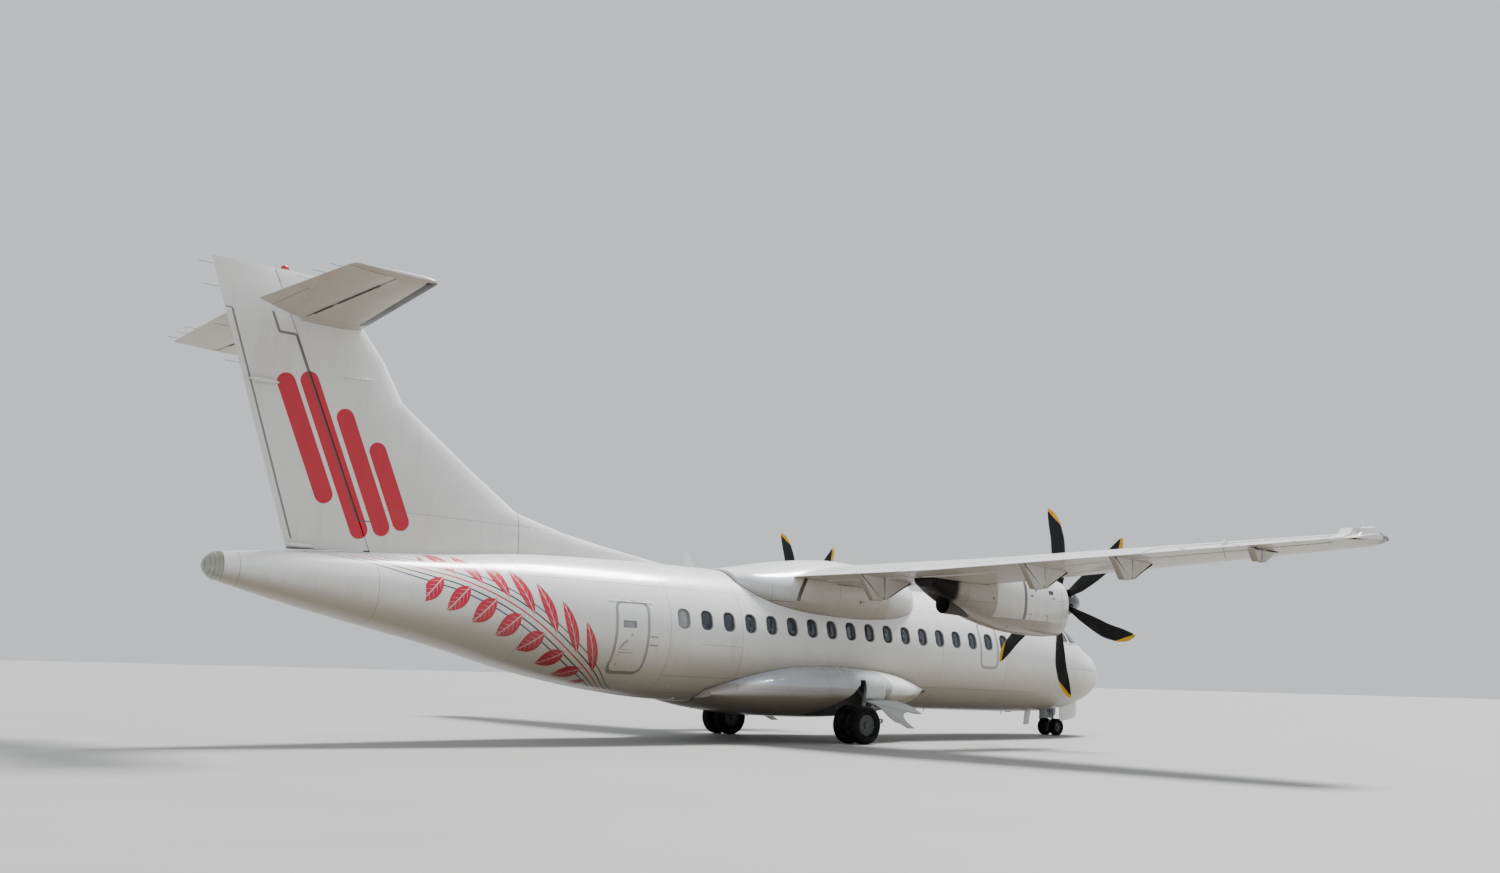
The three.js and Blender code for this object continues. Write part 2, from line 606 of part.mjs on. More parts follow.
// Columns: offset y, leading edge station, trailing edge station, half thickness at the elevator hinge
const TAILPLANE_SECTIONS = [
  [0, 20200, 22235, 84],
  [3500, 20690, 22075, 52],
  [3620, 20760, 22050, 34],
  [TAIL_HALF_SPAN, 20900, 21990, 14],
];
const ELEVATOR_HINGE_STATION = 21340;
const ELEVATOR_INNER = 190;
const ELEVATOR_OUTER = 3480;
const ELEVATOR_ROOT_SLOPE = 0.5; // how the inner end slants outward going aft, to clear the rudder
const FIN_TIP_SEAT = 140; // half height of the tailplane's middle

function tailplanePoint([y, leading, trailing, atHinge], share, side) {
  if (share <= 1) {
    const half = atHinge * Math.sqrt(share) * (1 + FIN_BULGE * (1 - share));
    return at(mix(leading, ELEVATOR_HINGE_STATION, share), y, TAILPLANE_HEIGHT + side * half);
  }
  const half = mix(atHinge, EDGE_HALF_THICKNESS, share - 1) + AFT_BULGE * (share - 1) * (2 - share);
  return at(mix(ELEVATOR_HINGE_STATION, trailing, share - 1), y, TAILPLANE_HEIGHT + side * half);
}

function tailplaneShape() {
  const ring = (row) => [
    ...[...FIN_SHARES, 2].map((share) => tailplanePoint(row, share, 1)).reverse(),
    ...[...FIN_SHARES.slice(1), 2].map((share) => tailplanePoint(row, share, -1)),
  ];
  return loft(mirroredRows(TAILPLANE_SECTIONS).map(ring), acrossY);
}

function elevator(side) {
  const rings = (y) => hingedRings((u, s) => tailplanePoint(rowAt(TAILPLANE_SECTIONS, y), 1 + u, s), 0);
  const toSide = (ring, slant) => ring.map((p) => {
    const aft = Math.max(0, -p.x - ELEVATOR_HINGE_STATION);
    return new THREE.Vector3(p.x, side * (p.y + slant * aft), p.z);
  });
  const [inner, outer] = [rings(ELEVATOR_INNER), rings(ELEVATOR_OUTER)];
  const hinge = toSide([inner.hinge, outer.hinge], 0);
  return {
    piece: join(loft([toSide(inner.moving, ELEVATOR_ROOT_SLOPE), toSide(outer.moving, 0)], acrossY),
      pin(...beyond(hinge, -20, 40), HINGE_PIN)),
    room: join(
      loft([rings(20), rings(ELEVATOR_OUTER + RUNNING_GAP)].map(({ cutter }) => toSide(cutter, 0)), acrossY),
      pinHole(...beyond(hinge, -20, 45), HINGE_PIN),
    ),
    hinge,
  };
}

const tailplaneSlot = (grow) =>
  block(13000, 23500, -600, 600, TAILPLANE_HEIGHT - FIN_TIP_SEAT - grow,
    TAILPLANE_HEIGHT + FIN_TIP_SEAT + grow);

function tail() {
  const { piece: rudderPiece, room } = rudder();
  const whole = cut(finShape(), room);
  const [left, right] = [elevator(1), elevator(-1)];
  const below = block(13000, 23500, -600, 600, 2000, TAILPLANE_HEIGHT - FIN_TIP_SEAT - SEAT);
  const above = block(13000, 23500, -600, 600, TAILPLANE_HEIGHT + FIN_TIP_SEAT + SEAT, 8000);
  const aheadOfJoint = block(13000, DORSAL_END, -600, 600, 2000, 8000);
  const behindJoint = block(DORSAL_END + SEAT, 23500, -600, 600, 2000, 8000);
  const lower = cut(whole.intersect(below), aroundFuselage);
  return {
    fin: lower.intersect(behindJoint),
    dorsal_fin: lower.intersect(aheadOfJoint),
    fin_tip: whole.intersect(above),
    tailplane: join(cut(tailplaneShape(), left.room, right.room, block(21150, 23500, -60, 60, 6000, 7500)),
      whole.intersect(tailplaneSlot(0))),
    elevator_left: left.piece,
    elevator_right: right.piece,
    rudder: rudderPiece,
  };
}

// Engines: a nacelle under the leading edge, a plain engine block inside it, a spinner and six swept blades

// Columns: station, half width, top, bottom, height of the widest line
const NACELLE_SECTIONS = [
  [6610, 335, 3350, 2345, 2900],
  [6680, 400, 3420, 2300, 2890],
  [7200, 455, 3505, 2265, 2890],
  [8100, 475, 3575, 2300, 2920],
  [8900, 470, 3600, 2420, 2960],
  [9600, 425, 3560, 2600, 3010],
  [10200, 340, 3480, 2830, 3110],
  [10560, 255, 3400, 3020, 3200],
];
const ENGINE = { station0: 6950, station1: 9050, halfWidth: 320, bottom: 2540, top: 3100 };
const JET_PIPE = { radius: 150, from: 9050, to: 10700, height: 2850 };

function nacelle(side) {
  const y = side * ENGINE_OFFSET;
  const { station0, station1, halfWidth, bottom, top } = ENGINE;
  const shell = loft(NACELLE_SECTIONS.map((row) => ovalRing(row, FAIRING_POINTS, y, 2.3, 2.5)), acrossX);
  const inside = block(station0 - SEAT, station1 + SEAT, y - halfWidth - SEAT, y + halfWidth + SEAT,
    bottom - SEAT, top + SEAT);
  const pipe = bar(at(JET_PIPE.from - 200, y, JET_PIPE.height), at(JET_PIPE.to, y, JET_PIPE.height - 120),
    JET_PIPE.radius);
  return cut(shell, aroundWing, inside, pipe, pinHole(...shaftLine(y, SHAFT.end + 6), SHAFT.radius));
}

function engine(side) {
  const y = side * ENGINE_OFFSET;
  const { station0, station1, halfWidth, bottom, top } = ENGINE;
  return block(station0, station1, y - halfWidth, y + halfWidth, bottom, top);
}

// Columns: radius, chord, thickness, pitch in degrees, sweep against the turn
const BLADE_SECTIONS = [
  [150, 118, 116, 42, 0],
  [320, 150, 105, 40, -12],
  [600, 240, 56, 28, -34],
  [1200, 312, 28, 11, -38],
  [1600, 290, 16, 5, 20],
  [1850, 190, 10, 2, 92],
  [PROPELLER_RADIUS, 46, 5, 1, 160],
];
const BLADES = 6;
const BLADE_START = [-11.8, -4.2]; // degrees past upright of the first blade, port and starboard
const HUB = { radius: 205, station0: 6380, station1: 6570 };
const HUB_SIDES = 12;
const SHAFT = { radius: 36, end: 6760 }; // the propeller's, in the nacelle's front wall
const shaftLine = (y, end) => [at(HUB.station1 - 50, y, PROPELLER_HEIGHT), at(end, y, PROPELLER_HEIGHT)];

// One blade, pointing up from the origin and turning toward starboard at the top.
function blade() {
  const chordwise = [[0.5, 0], [0.2, 0.9], [-0.1, 0.9], [-0.5, 0.05], [-0.1, -0.6], [0.25, -0.5]];
  const ring = ([radius, chord, thickness, pitch, sweep]) =>
    chordwise.map(([along, out]) => {
      const c = Math.cos(radians(pitch));
      const s = Math.sin(radians(pitch));
      const [u, v] = [along * chord, (out * thickness) / 2];
      return new THREE.Vector3(u * s + v * c, -(u * c - v * s) + sweep, radius);
    });
  return BLADE_SECTIONS.map(ring);
}

function propeller(side) {
  const y = side * ENGINE_OFFSET;
  const rings = blade();
  const start = BLADE_START[side > 0 ? 0 : 1];
  const forward = new THREE.Vector3(1, 0, 0);
  const centre = at(PROPELLER_STATION, y, PROPELLER_HEIGHT);
  const blades = Array.from({ length: BLADES }, (_, i) => {
    const turn = radians(start + (360 / BLADES) * i);
    const place = (p) => new THREE.Vector3(p.x, p.y, p.z).applyAxisAngle(forward, turn).add(centre);
    return loft(rings.map((ring) => ring.map(place)), (p) => {
      const local = p.clone().sub(centre).applyAxisAngle(forward, -turn);
      return new THREE.Vector2(local.x, local.y);
    });
  });
  const [front, back] = [HUB.station0, HUB.station1].map((s) => at(s, y, PROPELLER_HEIGHT));
  const hub = bar(front, back, HUB.radius, HUB.radius, HUB_SIDES);
  return join(hub, pin(...shaftLine(y, SHAFT.end), SHAFT.radius), ...blades);
}

// Spinner: a shell over the hub, profile as [distance ahead of its base, radius]
const SPINNER_BASE = 6590;
const SPINNER_PROFILE = [[0, 303], [140, 303], [330, 275], [500, 212], [650, 125], [755, 0]];
const SPINNER_SIDES = 18;
const BLADE_HOLE = 92;

function spinner(side) {
  const y = side * ENGINE_OFFSET;
  const centre = at(SPINNER_BASE, y, PROPELLER_HEIGHT);
  const forward = new THREE.Vector3(1, 0, 0);
  const outside = turned([[0, 0], ...SPINNER_PROFILE], centre, forward, SPINNER_SIDES);
  const depth = SPINNER_BASE - HUB.station0 + SEAT;
  const bore = HUB.radius + SEAT;
  const inside = turned([[-10, 0], [-10, bore], [depth, bore], [depth, 0]], centre, forward, HUB_SIDES);
  const start = BLADE_START[side > 0 ? 0 : 1];
  const holes = Array.from({ length: BLADES }, (_, i) => {
    const turn = radians(start + (360 / BLADES) * i);
    const out = new THREE.Vector3(0, -Math.sin(turn), Math.cos(turn));
    const from = at(PROPELLER_STATION, y, PROPELLER_HEIGHT).addScaledVector(out, 120);
    const to = at(PROPELLER_STATION, y, PROPELLER_HEIGHT).addScaledVector(out, 420);
    return bar(from, to, BLADE_HOLE, BLADE_HOLE, 6);
  });
  return cut(outside, inside, pinHole(...shaftLine(y, SHAFT.end), SHAFT.radius), ...holes);
}

// Main gear: on each side one leg with a trailing arm between twin wheels

const MAIN_TYRE = { radius: 375, rim: 205, halfWidth: 108 };
const NOSE_TYRE = { radius: 205, rim: 108, halfWidth: 88 };
const MAIN_TWIN_OFFSET = 212; // from the middle of the pair to the middle of each tyre
const NOSE_TWIN_OFFSET = 170;
const WHEEL_SIDES = 20;

// A tyre's section as a closed loop; shoulders are round, the tread is a little crowned.
function tyre({ radius, rim, halfWidth }, centre) {
  const profile = [
    [-0.62, rim], [-1, mix(rim, radius, 0.45)], [-0.9, mix(rim, radius, 0.84)],
    [-0.6, mix(rim, radius, 0.98)], [0, radius], [0.6, mix(rim, radius, 0.98)],
    [0.9, mix(rim, radius, 0.84)], [1, mix(rim, radius, 0.45)], [0.62, rim], [-0.62, rim],
  ].map(([along, r]) => [along * halfWidth, r]);
  return turned(profile, centre, new THREE.Vector3(0, 1, 0), WHEEL_SIDES);
}

// Twin wheel discs on one axle, dished outside.
function twinWheels({ rim, halfWidth }, centre, offset, axleRadius) {
  const profile = [[-0.9, 0], [-0.62, rim - SEAT], [0.62, rim - SEAT], [0.35, rim * 0.82], [0.35, rim * 0.4],
    [0.8, rim * 0.3], [0.8, 0]];
  const disc = (sign) => turned(profile.map(([along, r]) => [sign * along * halfWidth, r]),
    centre.clone().add(new THREE.Vector3(0, sign * offset, 0)), new THREE.Vector3(0, 1, 0), WHEEL_SIDES);
  const ends = [-1, 1].map((sign) => centre.clone().add(new THREE.Vector3(0, sign * offset, 0)));
  return join(pin(ends[0], ends[1], axleRadius), disc(1), disc(-1));
}

const AXLE = { main: 38, nose: 24 };
const ARM = { pivotStation: 9745, pivotHeight: 470, halfWidth: 62 };
const LEG_TOP = { station: 9755, y: 1760, z: WHEEL_BAY.roof - SEAT };

const SHOCK = { foot: { station: 10120, z: 440 }, head: { station: 9790, y: 1860, z: 1130 }, radius: 42 };
const BRACE = { y: 1390, radius: 34 };
// Bars that carry the gear door: station and offset on the leg, height, station on the door
const DOOR_BRACKETS = [[9750, 1940, 800, 9790], [9748, 1965, 720, 9330]];

function mainLeg(side) {
  const y = (side * MAIN_TRACK) / 2;
  const hub = at(MAIN_WHEEL_STATION, y, MAIN_TYRE.radius);
  const pivot = at(ARM.pivotStation, y, ARM.pivotHeight);
  const topY = side * LEG_TOP.y;
  const arm = plate([
    [ARM.pivotStation - 85, ARM.pivotHeight - 45], [ARM.pivotStation - 85, ARM.pivotHeight + 60],
    [ARM.pivotStation + 60, ARM.pivotHeight + 85], [MAIN_WHEEL_STATION + 70, MAIN_TYRE.radius + 70],
    [MAIN_WHEEL_STATION + 90, MAIN_TYRE.radius], [MAIN_WHEEL_STATION + 50, MAIN_TYRE.radius - 75],
    [MAIN_WHEEL_STATION - 60, MAIN_TYRE.radius - 75], [ARM.pivotStation, ARM.pivotHeight - 80],
  ], y - ARM.halfWidth, y + ARM.halfWidth);
  const column = bar(pivot, at(LEG_TOP.station, topY, LEG_TOP.z), 62, 78);
  const shock = bar(at(SHOCK.foot.station, y, SHOCK.foot.z),
    at(SHOCK.head.station, side * SHOCK.head.y, SHOCK.head.z), SHOCK.radius);
  const brace = bar(at(ARM.pivotStation, y - side * 60, 720),
    at(ARM.pivotStation + 90, side * BRACE.y, LEG_TOP.z), BRACE.radius);
  const axle = [-200, 200].map((shift) => hub.clone().add(new THREE.Vector3(0, shift, 0)));
  const axleHole = pinHole(...axle, AXLE.main);
  const behindDoor = block(9000, 10200, side * (GEAR_DOOR_OFFSETS[0] - SEAT), side * 2300, 600, 950);
  const brackets = DOOR_BRACKETS.map(([station, inner, height, doorStation]) => {
    const atDoor = at(doorStation, side * (GEAR_DOOR_OFFSETS[0] + 30), height);
    return cut(bar(at(station, side * inner, height), atDoor, 20), behindDoor);
  });
  const roofTrim = block(9300, 10800, side * 900, side * 2400, LEG_TOP.z, LEG_TOP.z + 300);
  return cut(join(arm, column, shock, brace, ...brackets), axleHole, roofTrim);
}

// Lower gear door: a plate carried by the leg, with a notch in its front edge, as [station, height]
const GEAR_DOOR = [
  [10120, 850], [9500, 868], [9170, 862], [8860, 800], [8650, 740], [8420, 622], [8600, 618], [8830, 655],
  [8935, 622], [8950, 552], [8870, 462], [8710, 368], [8620, 330], [8800, 326], [9050, 425], [9180, 450],
  [9340, 530], [9540, 670], [9770, 775],
];
const GEAR_DOOR_OFFSETS = [2080, 2098];

function mainGearDoor(side) {
  return plate(GEAR_DOOR, ...GEAR_DOOR_OFFSETS.map((y) => side * y));
}

// Nose gear: a fixed leg in the bay, and below it a knuckle that steers the twin wheels
const NOSE_AXLE_HEIGHT = NOSE_TYRE.radius + WHEELBASE * Math.tan(radians(ATTITUDE));
const NOSE_LEG = { top: NOSE_BAY.roof - SEAT, bottom: 640, radius: 72 };
const NOSE_TUBE = { radius: 32, top: 790 };
const onNoseLeg = (y, z) => at(NOSE_WHEEL_STATION, y, z);

function noseLeg() {
  const { top, bottom, radius } = NOSE_LEG;
  const barrel = bar(onNoseLeg(0, bottom), onNoseLeg(0, top), radius);
  const crossTube = bar(onNoseLeg(-NOSE_BAY.halfWidth + SEAT, 1180),
    onNoseLeg(NOSE_BAY.halfWidth - SEAT, 1180), 44);
  const drag = bar(at(NOSE_WHEEL_STATION + 20, 0, 800),
    at(NOSE_BAY.station1 - 60, 0, NOSE_BAY.roof - 60), 34);
  const socket = pinHole(onNoseLeg(0, bottom - 20), onNoseLeg(0, NOSE_TUBE.top + RUNNING_GAP),
    NOSE_TUBE.radius);
  const aboveRoof = block(700, NOSE_BAY.station1 + 10, -400, 400, top, top + 300);
  return cut(join(barrel, crossTube, drag), aboveRoof, socket);
}

const TOW_FITTING = { front: 1300, halfWidth: 34, bottom: 310, top: 372 }; // a flat-nosed lug for a tow bar

function noseKnuckle() {
  const under = NOSE_LEG.bottom - SEAT;
  const tube = pin(onNoseLeg(0, NOSE_AXLE_HEIGHT), onNoseLeg(0, NOSE_TUBE.top), NOSE_TUBE.radius);
  const strut = bar(onNoseLeg(0, NOSE_AXLE_HEIGHT), onNoseLeg(0, under), 48);
  const housing = bar(onNoseLeg(-66, NOSE_AXLE_HEIGHT), onNoseLeg(66, NOSE_AXLE_HEIGHT), 52);
  const collar = bar(onNoseLeg(0, under - 54), onNoseLeg(0, under), NOSE_LEG.radius);
  const { front, halfWidth, bottom, top } = TOW_FITTING;
  const fitting = block(front, NOSE_WHEEL_STATION, -halfWidth, halfWidth, bottom, top);
  const link = plate([[1400, 600], [1320, 560], [1250, 470], [1330, 380], [1420, 360], [1420, 400],
    [1350, 440], [1310, 480], [1350, 530], [1420, 560]], -28, 28);
  const hole = pinHole(onNoseLeg(-200, NOSE_AXLE_HEIGHT), onNoseLeg(200, NOSE_AXLE_HEIGHT), AXLE.nose);
  return cut(join(tube, strut, housing, collar, link, fitting), hole);
}

const NOSE_DOOR = [[860, 1000], [1500, 870], [1500, 520], [1440, 500], [930, 600], [860, 660]];

function noseDoor(side) {
  return plate(NOSE_DOOR, side * (NOSE_BAY.halfWidth - SEAT), side * (NOSE_BAY.halfWidth - 22));
}

// Everything put together

const aroundWing = wingShape(SEAT);

// Columns: station, offset, height of the face
const JACK_PADS = [[3100, 0, 684], [13600, 450, 738], [13600, -450, 738]];
const JACK_PAD = { radius: 75, depth: 110 };

function fuselage() {
  const recesses = DOORS.map((door) => doorRecess(door, door[0].startsWith("exit") ? SEAT : DOOR_GAP));
  recesses.push(hingeRoom(PASSENGER_DOOR, passengerHinge), hingeRoom(CARGO_DOOR, cargoHinge));
  const glazing = cut(glazingBand(SEAT), fuselageShape(-GLAZING_DEPTH - SEAT));
  const rudderSocket = pinHole(at(rudderHinge(RUDDER_PIN.top), 0, RUDDER_PIN.top),
    at(rudderHinge(RUDDER_PIN.bottom - 6), 0, RUDDER_PIN.bottom - 6), RUDDER_PIN.radius);
  const pads = JACK_PADS.map(([station, y, z]) =>
    bar(at(station, y, z), at(station, y, z + JACK_PAD.depth), JACK_PAD.radius));
  return join(cut(fuselageSkin, aroundWing, ...recesses, glazing, noseBay(), rudderSocket), ...pads);
}

const windscreen = () => cut(glazingBand(0).intersect(fuselageSkin), fuselageShape(-GLAZING_DEPTH));

function tailLens() {
  const [, halfWidth, top, bottom] = FUSELAGE_SECTIONS.at(-1);
  const centre = at(TAIL_END_STATION + SEAT, 0, (top + bottom) / 2);
  const profile = [[0, 0], [0, halfWidth], [90, 226], [180, 172], [245, 96], [272, 0]];
  return turned(profile, centre, new THREE.Vector3(-1, 0, 0), 20);
}

const saddle = () => cut(saddleShape(), aroundFuselage, aroundWing);

const FINISH = {
  white: { color: 0xf1f1ee, roughness: 0.3, metalness: 0.1 },
  grey: { color: 0xb9bcbf, roughness: 0.4, metalness: 0.1 },
  glass: { color: 0x2a3036, roughness: 0.1, metalness: 0 },
  lens: { color: 0xcfd6d4, roughness: 0.1, metalness: 0 },
  black: { color: 0x17181a, roughness: 0.45, metalness: 0.1 },
  rubber: { color: 0x1b1b1b, roughness: 0.9, metalness: 0 },
  wheel: { color: 0x6f7377, roughness: 0.5, metalness: 0.4 },
  steel: { color: 0x8b8f92, roughness: 0.4, metalness: 0.8 },
};

const airframe = new THREE.Group();
const turning = {}; // two points on the line that each turning piece turns about

function place(name, solid, finish) {
  const mesh = new THREE.Mesh(geometryOf(solid), new THREE.MeshStandardMaterial(FINISH[finish]));
  mesh.name = name;
  airframe.add(mesh);
}

place("fuselage", fuselage(), "white");
place("windscreen", windscreen(), "glass");
place("tail_lens", tailLens(), "lens");
const sweeps = { passenger_door: passengerSweep(), service_door: serviceSweep() };
for (const door of DOORS) {
  const leaf = doorLeaf(door);
  place(door[0], sweeps[door[0]] ? leaf.intersect(sweeps[door[0]]) : leaf, "white");
}
place("wing", wing(), "white");
place("wing_fairing", saddle(), "white");
place("gear_fairing", gearFairing(), "grey");
for (const [name, solid] of Object.entries(tail())) {
  place(name, solid, "white");
}
place("nose_leg", noseLeg(), "steel");
place("nose_knuckle", noseKnuckle(), "steel");
const noseAxle = at(NOSE_WHEEL_STATION, 0, NOSE_AXLE_HEIGHT);
place("nose_wheels", twinWheels(NOSE_TYRE, noseAxle, NOSE_TWIN_OFFSET, AXLE.nose), "wheel");
turning.nose_knuckle = [NOSE_AXLE_HEIGHT, NOSE_LEG.top].map((z) => at(NOSE_WHEEL_STATION, 0, z));
turning.nose_wheels = [-1, 1].map((y) => noseAxle.clone().add(new THREE.Vector3(0, y, 0)));
turning.rudder = rudder().hinge;
turning.passenger_door = passengerHinge;
turning.cargo_door = cargoHinge;
turning.service_door = serviceHinge;
for (const [side, word] of [[1, "left"], [-1, "right"]]) {
  const { piece, hinge } = aileron(side);
  place("aileron_" + word, piece, "white");
  turning["aileron_" + word] = hinge;
  turning["elevator_" + word] = elevator(side).hinge;
  for (const row of FLAPS) {
    const moved = flap(row, side);
    place(row[0] + "_flap_" + word, moved.piece, "white");
    turning[row[0] + "_flap_" + word] = moved.hinge;
  }
  turning["blades_" + word] = [PROPELLER_STATION, SPINNER_BASE].map((s) =>
    at(s, side * ENGINE_OFFSET, PROPELLER_HEIGHT));
  place("nacelle_" + word, nacelle(side), "white");
  place("engine_" + word, engine(side), "steel");
  place("spinner_" + word, spinner(side), "black");
  place("blades_" + word, propeller(side), "black");
  const hub = at(MAIN_WHEEL_STATION, (side * MAIN_TRACK) / 2, MAIN_TYRE.radius);
  turning["main_wheels_" + word] = [-1, 1].map((y) => hub.clone().add(new THREE.Vector3(0, y, 0)));
  place("main_leg_" + word, mainLeg(side), "steel");
  place("main_gear_door_" + word, mainGearDoor(side), "grey");
  place("main_wheels_" + word, twinWheels(MAIN_TYRE, hub, MAIN_TWIN_OFFSET, AXLE.main), "wheel");
  place("nose_door_" + word, noseDoor(side), "white");
  const noseCentre = noseAxle.clone().add(new THREE.Vector3(0, side * NOSE_TWIN_OFFSET, 0));
  place("nose_tyre_" + word, tyre(NOSE_TYRE, noseCentre), "rubber");
  for (const [shift, which] of [[MAIN_TWIN_OFFSET, "outer"], [-MAIN_TWIN_OFFSET, "inner"]]) {
    const centre = hub.clone().add(new THREE.Vector3(0, side * shift, 0));
    place("main_tyre_" + which + "_" + word, tyre(MAIN_TYRE, centre), "rubber");
  }
}

// The airframe is pitched about the line where the main tyres meet the ground, then centred over the origin.
const pitched = new THREE.Group();
pitched.add(airframe);
airframe.position.x = MAIN_WHEEL_STATION;
pitched.rotation.y = radians(ATTITUDE);
pitched.position.x = ORIGIN_STATION - MAIN_WHEEL_STATION;
const airliner = new THREE.Group();
airliner.add(pitched);
airliner.updateMatrixWorld(true);
for (const [name, points] of Object.entries(turning)) {
  airliner.userData[name] = points.map((p) => p.clone().applyMatrix4(airframe.matrixWorld));
}

export default airliner;
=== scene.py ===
import math

import bmesh
import bpy
from mathutils import Matrix, Vector
from mathutils.bvhtree import BVHTree
from mathutils.interpolate import poly_3d_calc


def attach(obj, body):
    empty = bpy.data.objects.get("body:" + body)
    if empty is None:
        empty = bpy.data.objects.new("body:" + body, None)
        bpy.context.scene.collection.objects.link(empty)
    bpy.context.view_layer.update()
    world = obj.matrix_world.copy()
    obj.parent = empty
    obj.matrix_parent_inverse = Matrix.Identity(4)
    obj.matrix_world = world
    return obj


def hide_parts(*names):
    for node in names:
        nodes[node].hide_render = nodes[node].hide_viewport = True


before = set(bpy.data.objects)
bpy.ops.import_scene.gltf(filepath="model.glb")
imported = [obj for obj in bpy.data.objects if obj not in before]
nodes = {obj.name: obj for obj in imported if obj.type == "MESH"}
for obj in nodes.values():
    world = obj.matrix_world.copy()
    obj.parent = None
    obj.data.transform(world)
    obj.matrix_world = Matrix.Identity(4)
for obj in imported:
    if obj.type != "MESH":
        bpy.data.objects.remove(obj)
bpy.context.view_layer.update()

# Camera: behind the starboard wing tip and low over the apron, where the photograph was taken from.
# It looks forward and across, turned by its compass bearing, tipped a little up and rolled a little.
BEARING, RISE, ROLL = (math.radians(angle) for angle in (40.9798, 6.8103, 1.5032))
ahead = Vector((math.sin(BEARING) * math.cos(RISE), math.cos(BEARING) * math.cos(RISE), math.sin(RISE)))
across = Vector((math.cos(BEARING), -math.sin(BEARING), 0))
over = across.cross(ahead)
camera_right = math.cos(ROLL) * across + math.sin(ROLL) * over
camera_up = math.cos(ROLL) * over - math.sin(ROLL) * across
camera_data = bpy.data.cameras.new("camera")
camera_data.lens = 34.671
camera_data.shift_x = -0.00827
camera_data.shift_y = 0.0421
camera_data.clip_end = 1000
camera = bpy.data.objects.new("camera", camera_data)
camera.matrix_world = Matrix.Translation((-19.2509, -22.4582, 1.35058)) @ Matrix(
    (camera_right, camera_up, -ahead)).transposed().to_4x4()
bpy.context.scene.collection.objects.link(camera)
bpy.context.scene.camera = camera

# Studio: a pale floor as wide as a hangar, an even pale sky and one broad soft lamp overhead.
# The floor is a painted screed, a little mottled.
FLOOR_RADIUS = 260


def by_node(operation, flipped=False):
    """An arithmetic sign of a wire, which adds a math node."""
    def apply(self, other=None):
        values = [self] if other is None else [other, self] if flipped else [self, other]
        return self.net.math(operation, *values)
    return apply


class Wire:
    """An output of a node in a net. Arithmetic on it adds math nodes, and a comparison gives a mask."""

    def __init__(self, net, socket):
        self.net, self.socket = net, socket

    __add__, __radd__ = by_node("ADD"), by_node("ADD", True)
    __sub__, __rsub__ = by_node("SUBTRACT"), by_node("SUBTRACT", True)
    __mul__, __rmul__ = by_node("MULTIPLY"), by_node("MULTIPLY", True)
    __truediv__, __pow__, __abs__ = by_node("DIVIDE"), by_node("POWER"), by_node("ABSOLUTE")
    __gt__, __lt__ = by_node("GREATER_THAN"), by_node("LESS_THAN")


class Net:
    """Puts nodes into a tree and wires them; an input is a number, a colour, a vector or a wire."""

    def __init__(self, tree):
        self.tree = tree

    def feed(self, socket, value):
        if isinstance(value, Wire):
            self.tree.links.new(value.socket, socket)
        elif socket.type == "RGBA" and len(value) == 3:
            socket.default_value = (*value, 1)
        else:
            socket.default_value = value

    def add(self, kind, inputs=None, output=0, **settings):
        """Adds a node and gives one of its outputs."""
        node = self.tree.nodes.new("ShaderNode" + kind)
        for name, value in settings.items():
            setattr(node, name, value)
        for name, value in (inputs or {}).items():
            self.feed(node.inputs[name], value)
        return Wire(self, node.outputs[output])

    def math(self, operation, *values, clamp=False):
        return self.add("Math", dict(enumerate(values)), operation=operation, use_clamp=clamp)

    def fade(self, value, low, high):
        """0 below low and 1 above high, eased between them; it falls where low is the higher."""
        steps = {"Value": value, "From Min": low, "From Max": high}
        return self.add("MapRange", steps, interpolation_type="SMOOTHSTEP")

    def mix(self, share, first, second, blend="MIX"):
        return self.add("Mix", {0: share, 6: first, 7: second}, 2, data_type="RGBA", blend_type=blend)

    def noise(self, point, scale, detail=3):
        return self.add("TexNoise", {"Vector": point, "Scale": scale, "Detail": detail, "Roughness": 0.55})

    def scaled(self, point, x, y, z):
        return self.add("VectorMath", {0: point, 1: (x, y, z)}, operation="MULTIPLY")

    def most(self, *masks):
        """The highest of several masks."""
        total = masks[0]
        for mask in masks[1:]:
            total = self.math("MAXIMUM", total, mask)
        return total

    def group(self, name, **inputs):
        """Places a node group and gives its outputs by name."""
        node = self.tree.nodes.new("ShaderNodeGroup")
        node.node_tree = bpy.data.node_groups[name]
        for key, value in inputs.items():
            self.feed(node.inputs[key.replace("_", " ")], value)
        return {output.name: Wire(self, output) for output in node.outputs}


def material(name, roughness=0.5, metallic=0.0, coat=0.0, **sockets):
    """A new material with its shader, and the net that its pattern is drawn with."""
    made = bpy.data.materials.new(name)
    made.use_nodes = True
    shader = made.node_tree.nodes["Principled BSDF"]
    settings = {"Roughness": roughness, "Metallic": metallic, "Coat Weight": coat, **sockets}
    for key, value in settings.items():
        shader.inputs[key.replace("_", " ")].default_value = value
    return made, Net(made.node_tree), shader


def shell(bm, name, *materials, smooth=40):
    """The finished mesh as an object, with its faces smooth up to an angle."""
    bmesh.ops.recalc_face_normals(bm, faces=bm.faces)
    mesh = bpy.data.meshes.new(name)
    bm.to_mesh(mesh)
    bm.free()
    for finish in materials:
        mesh.materials.append(finish)
    mesh.shade_smooth()
    mesh.set_sharp_from_angle(angle=math.radians(smooth))
    made = bpy.data.objects.new(name, mesh)
    bpy.context.scene.collection.objects.link(made)
    return made


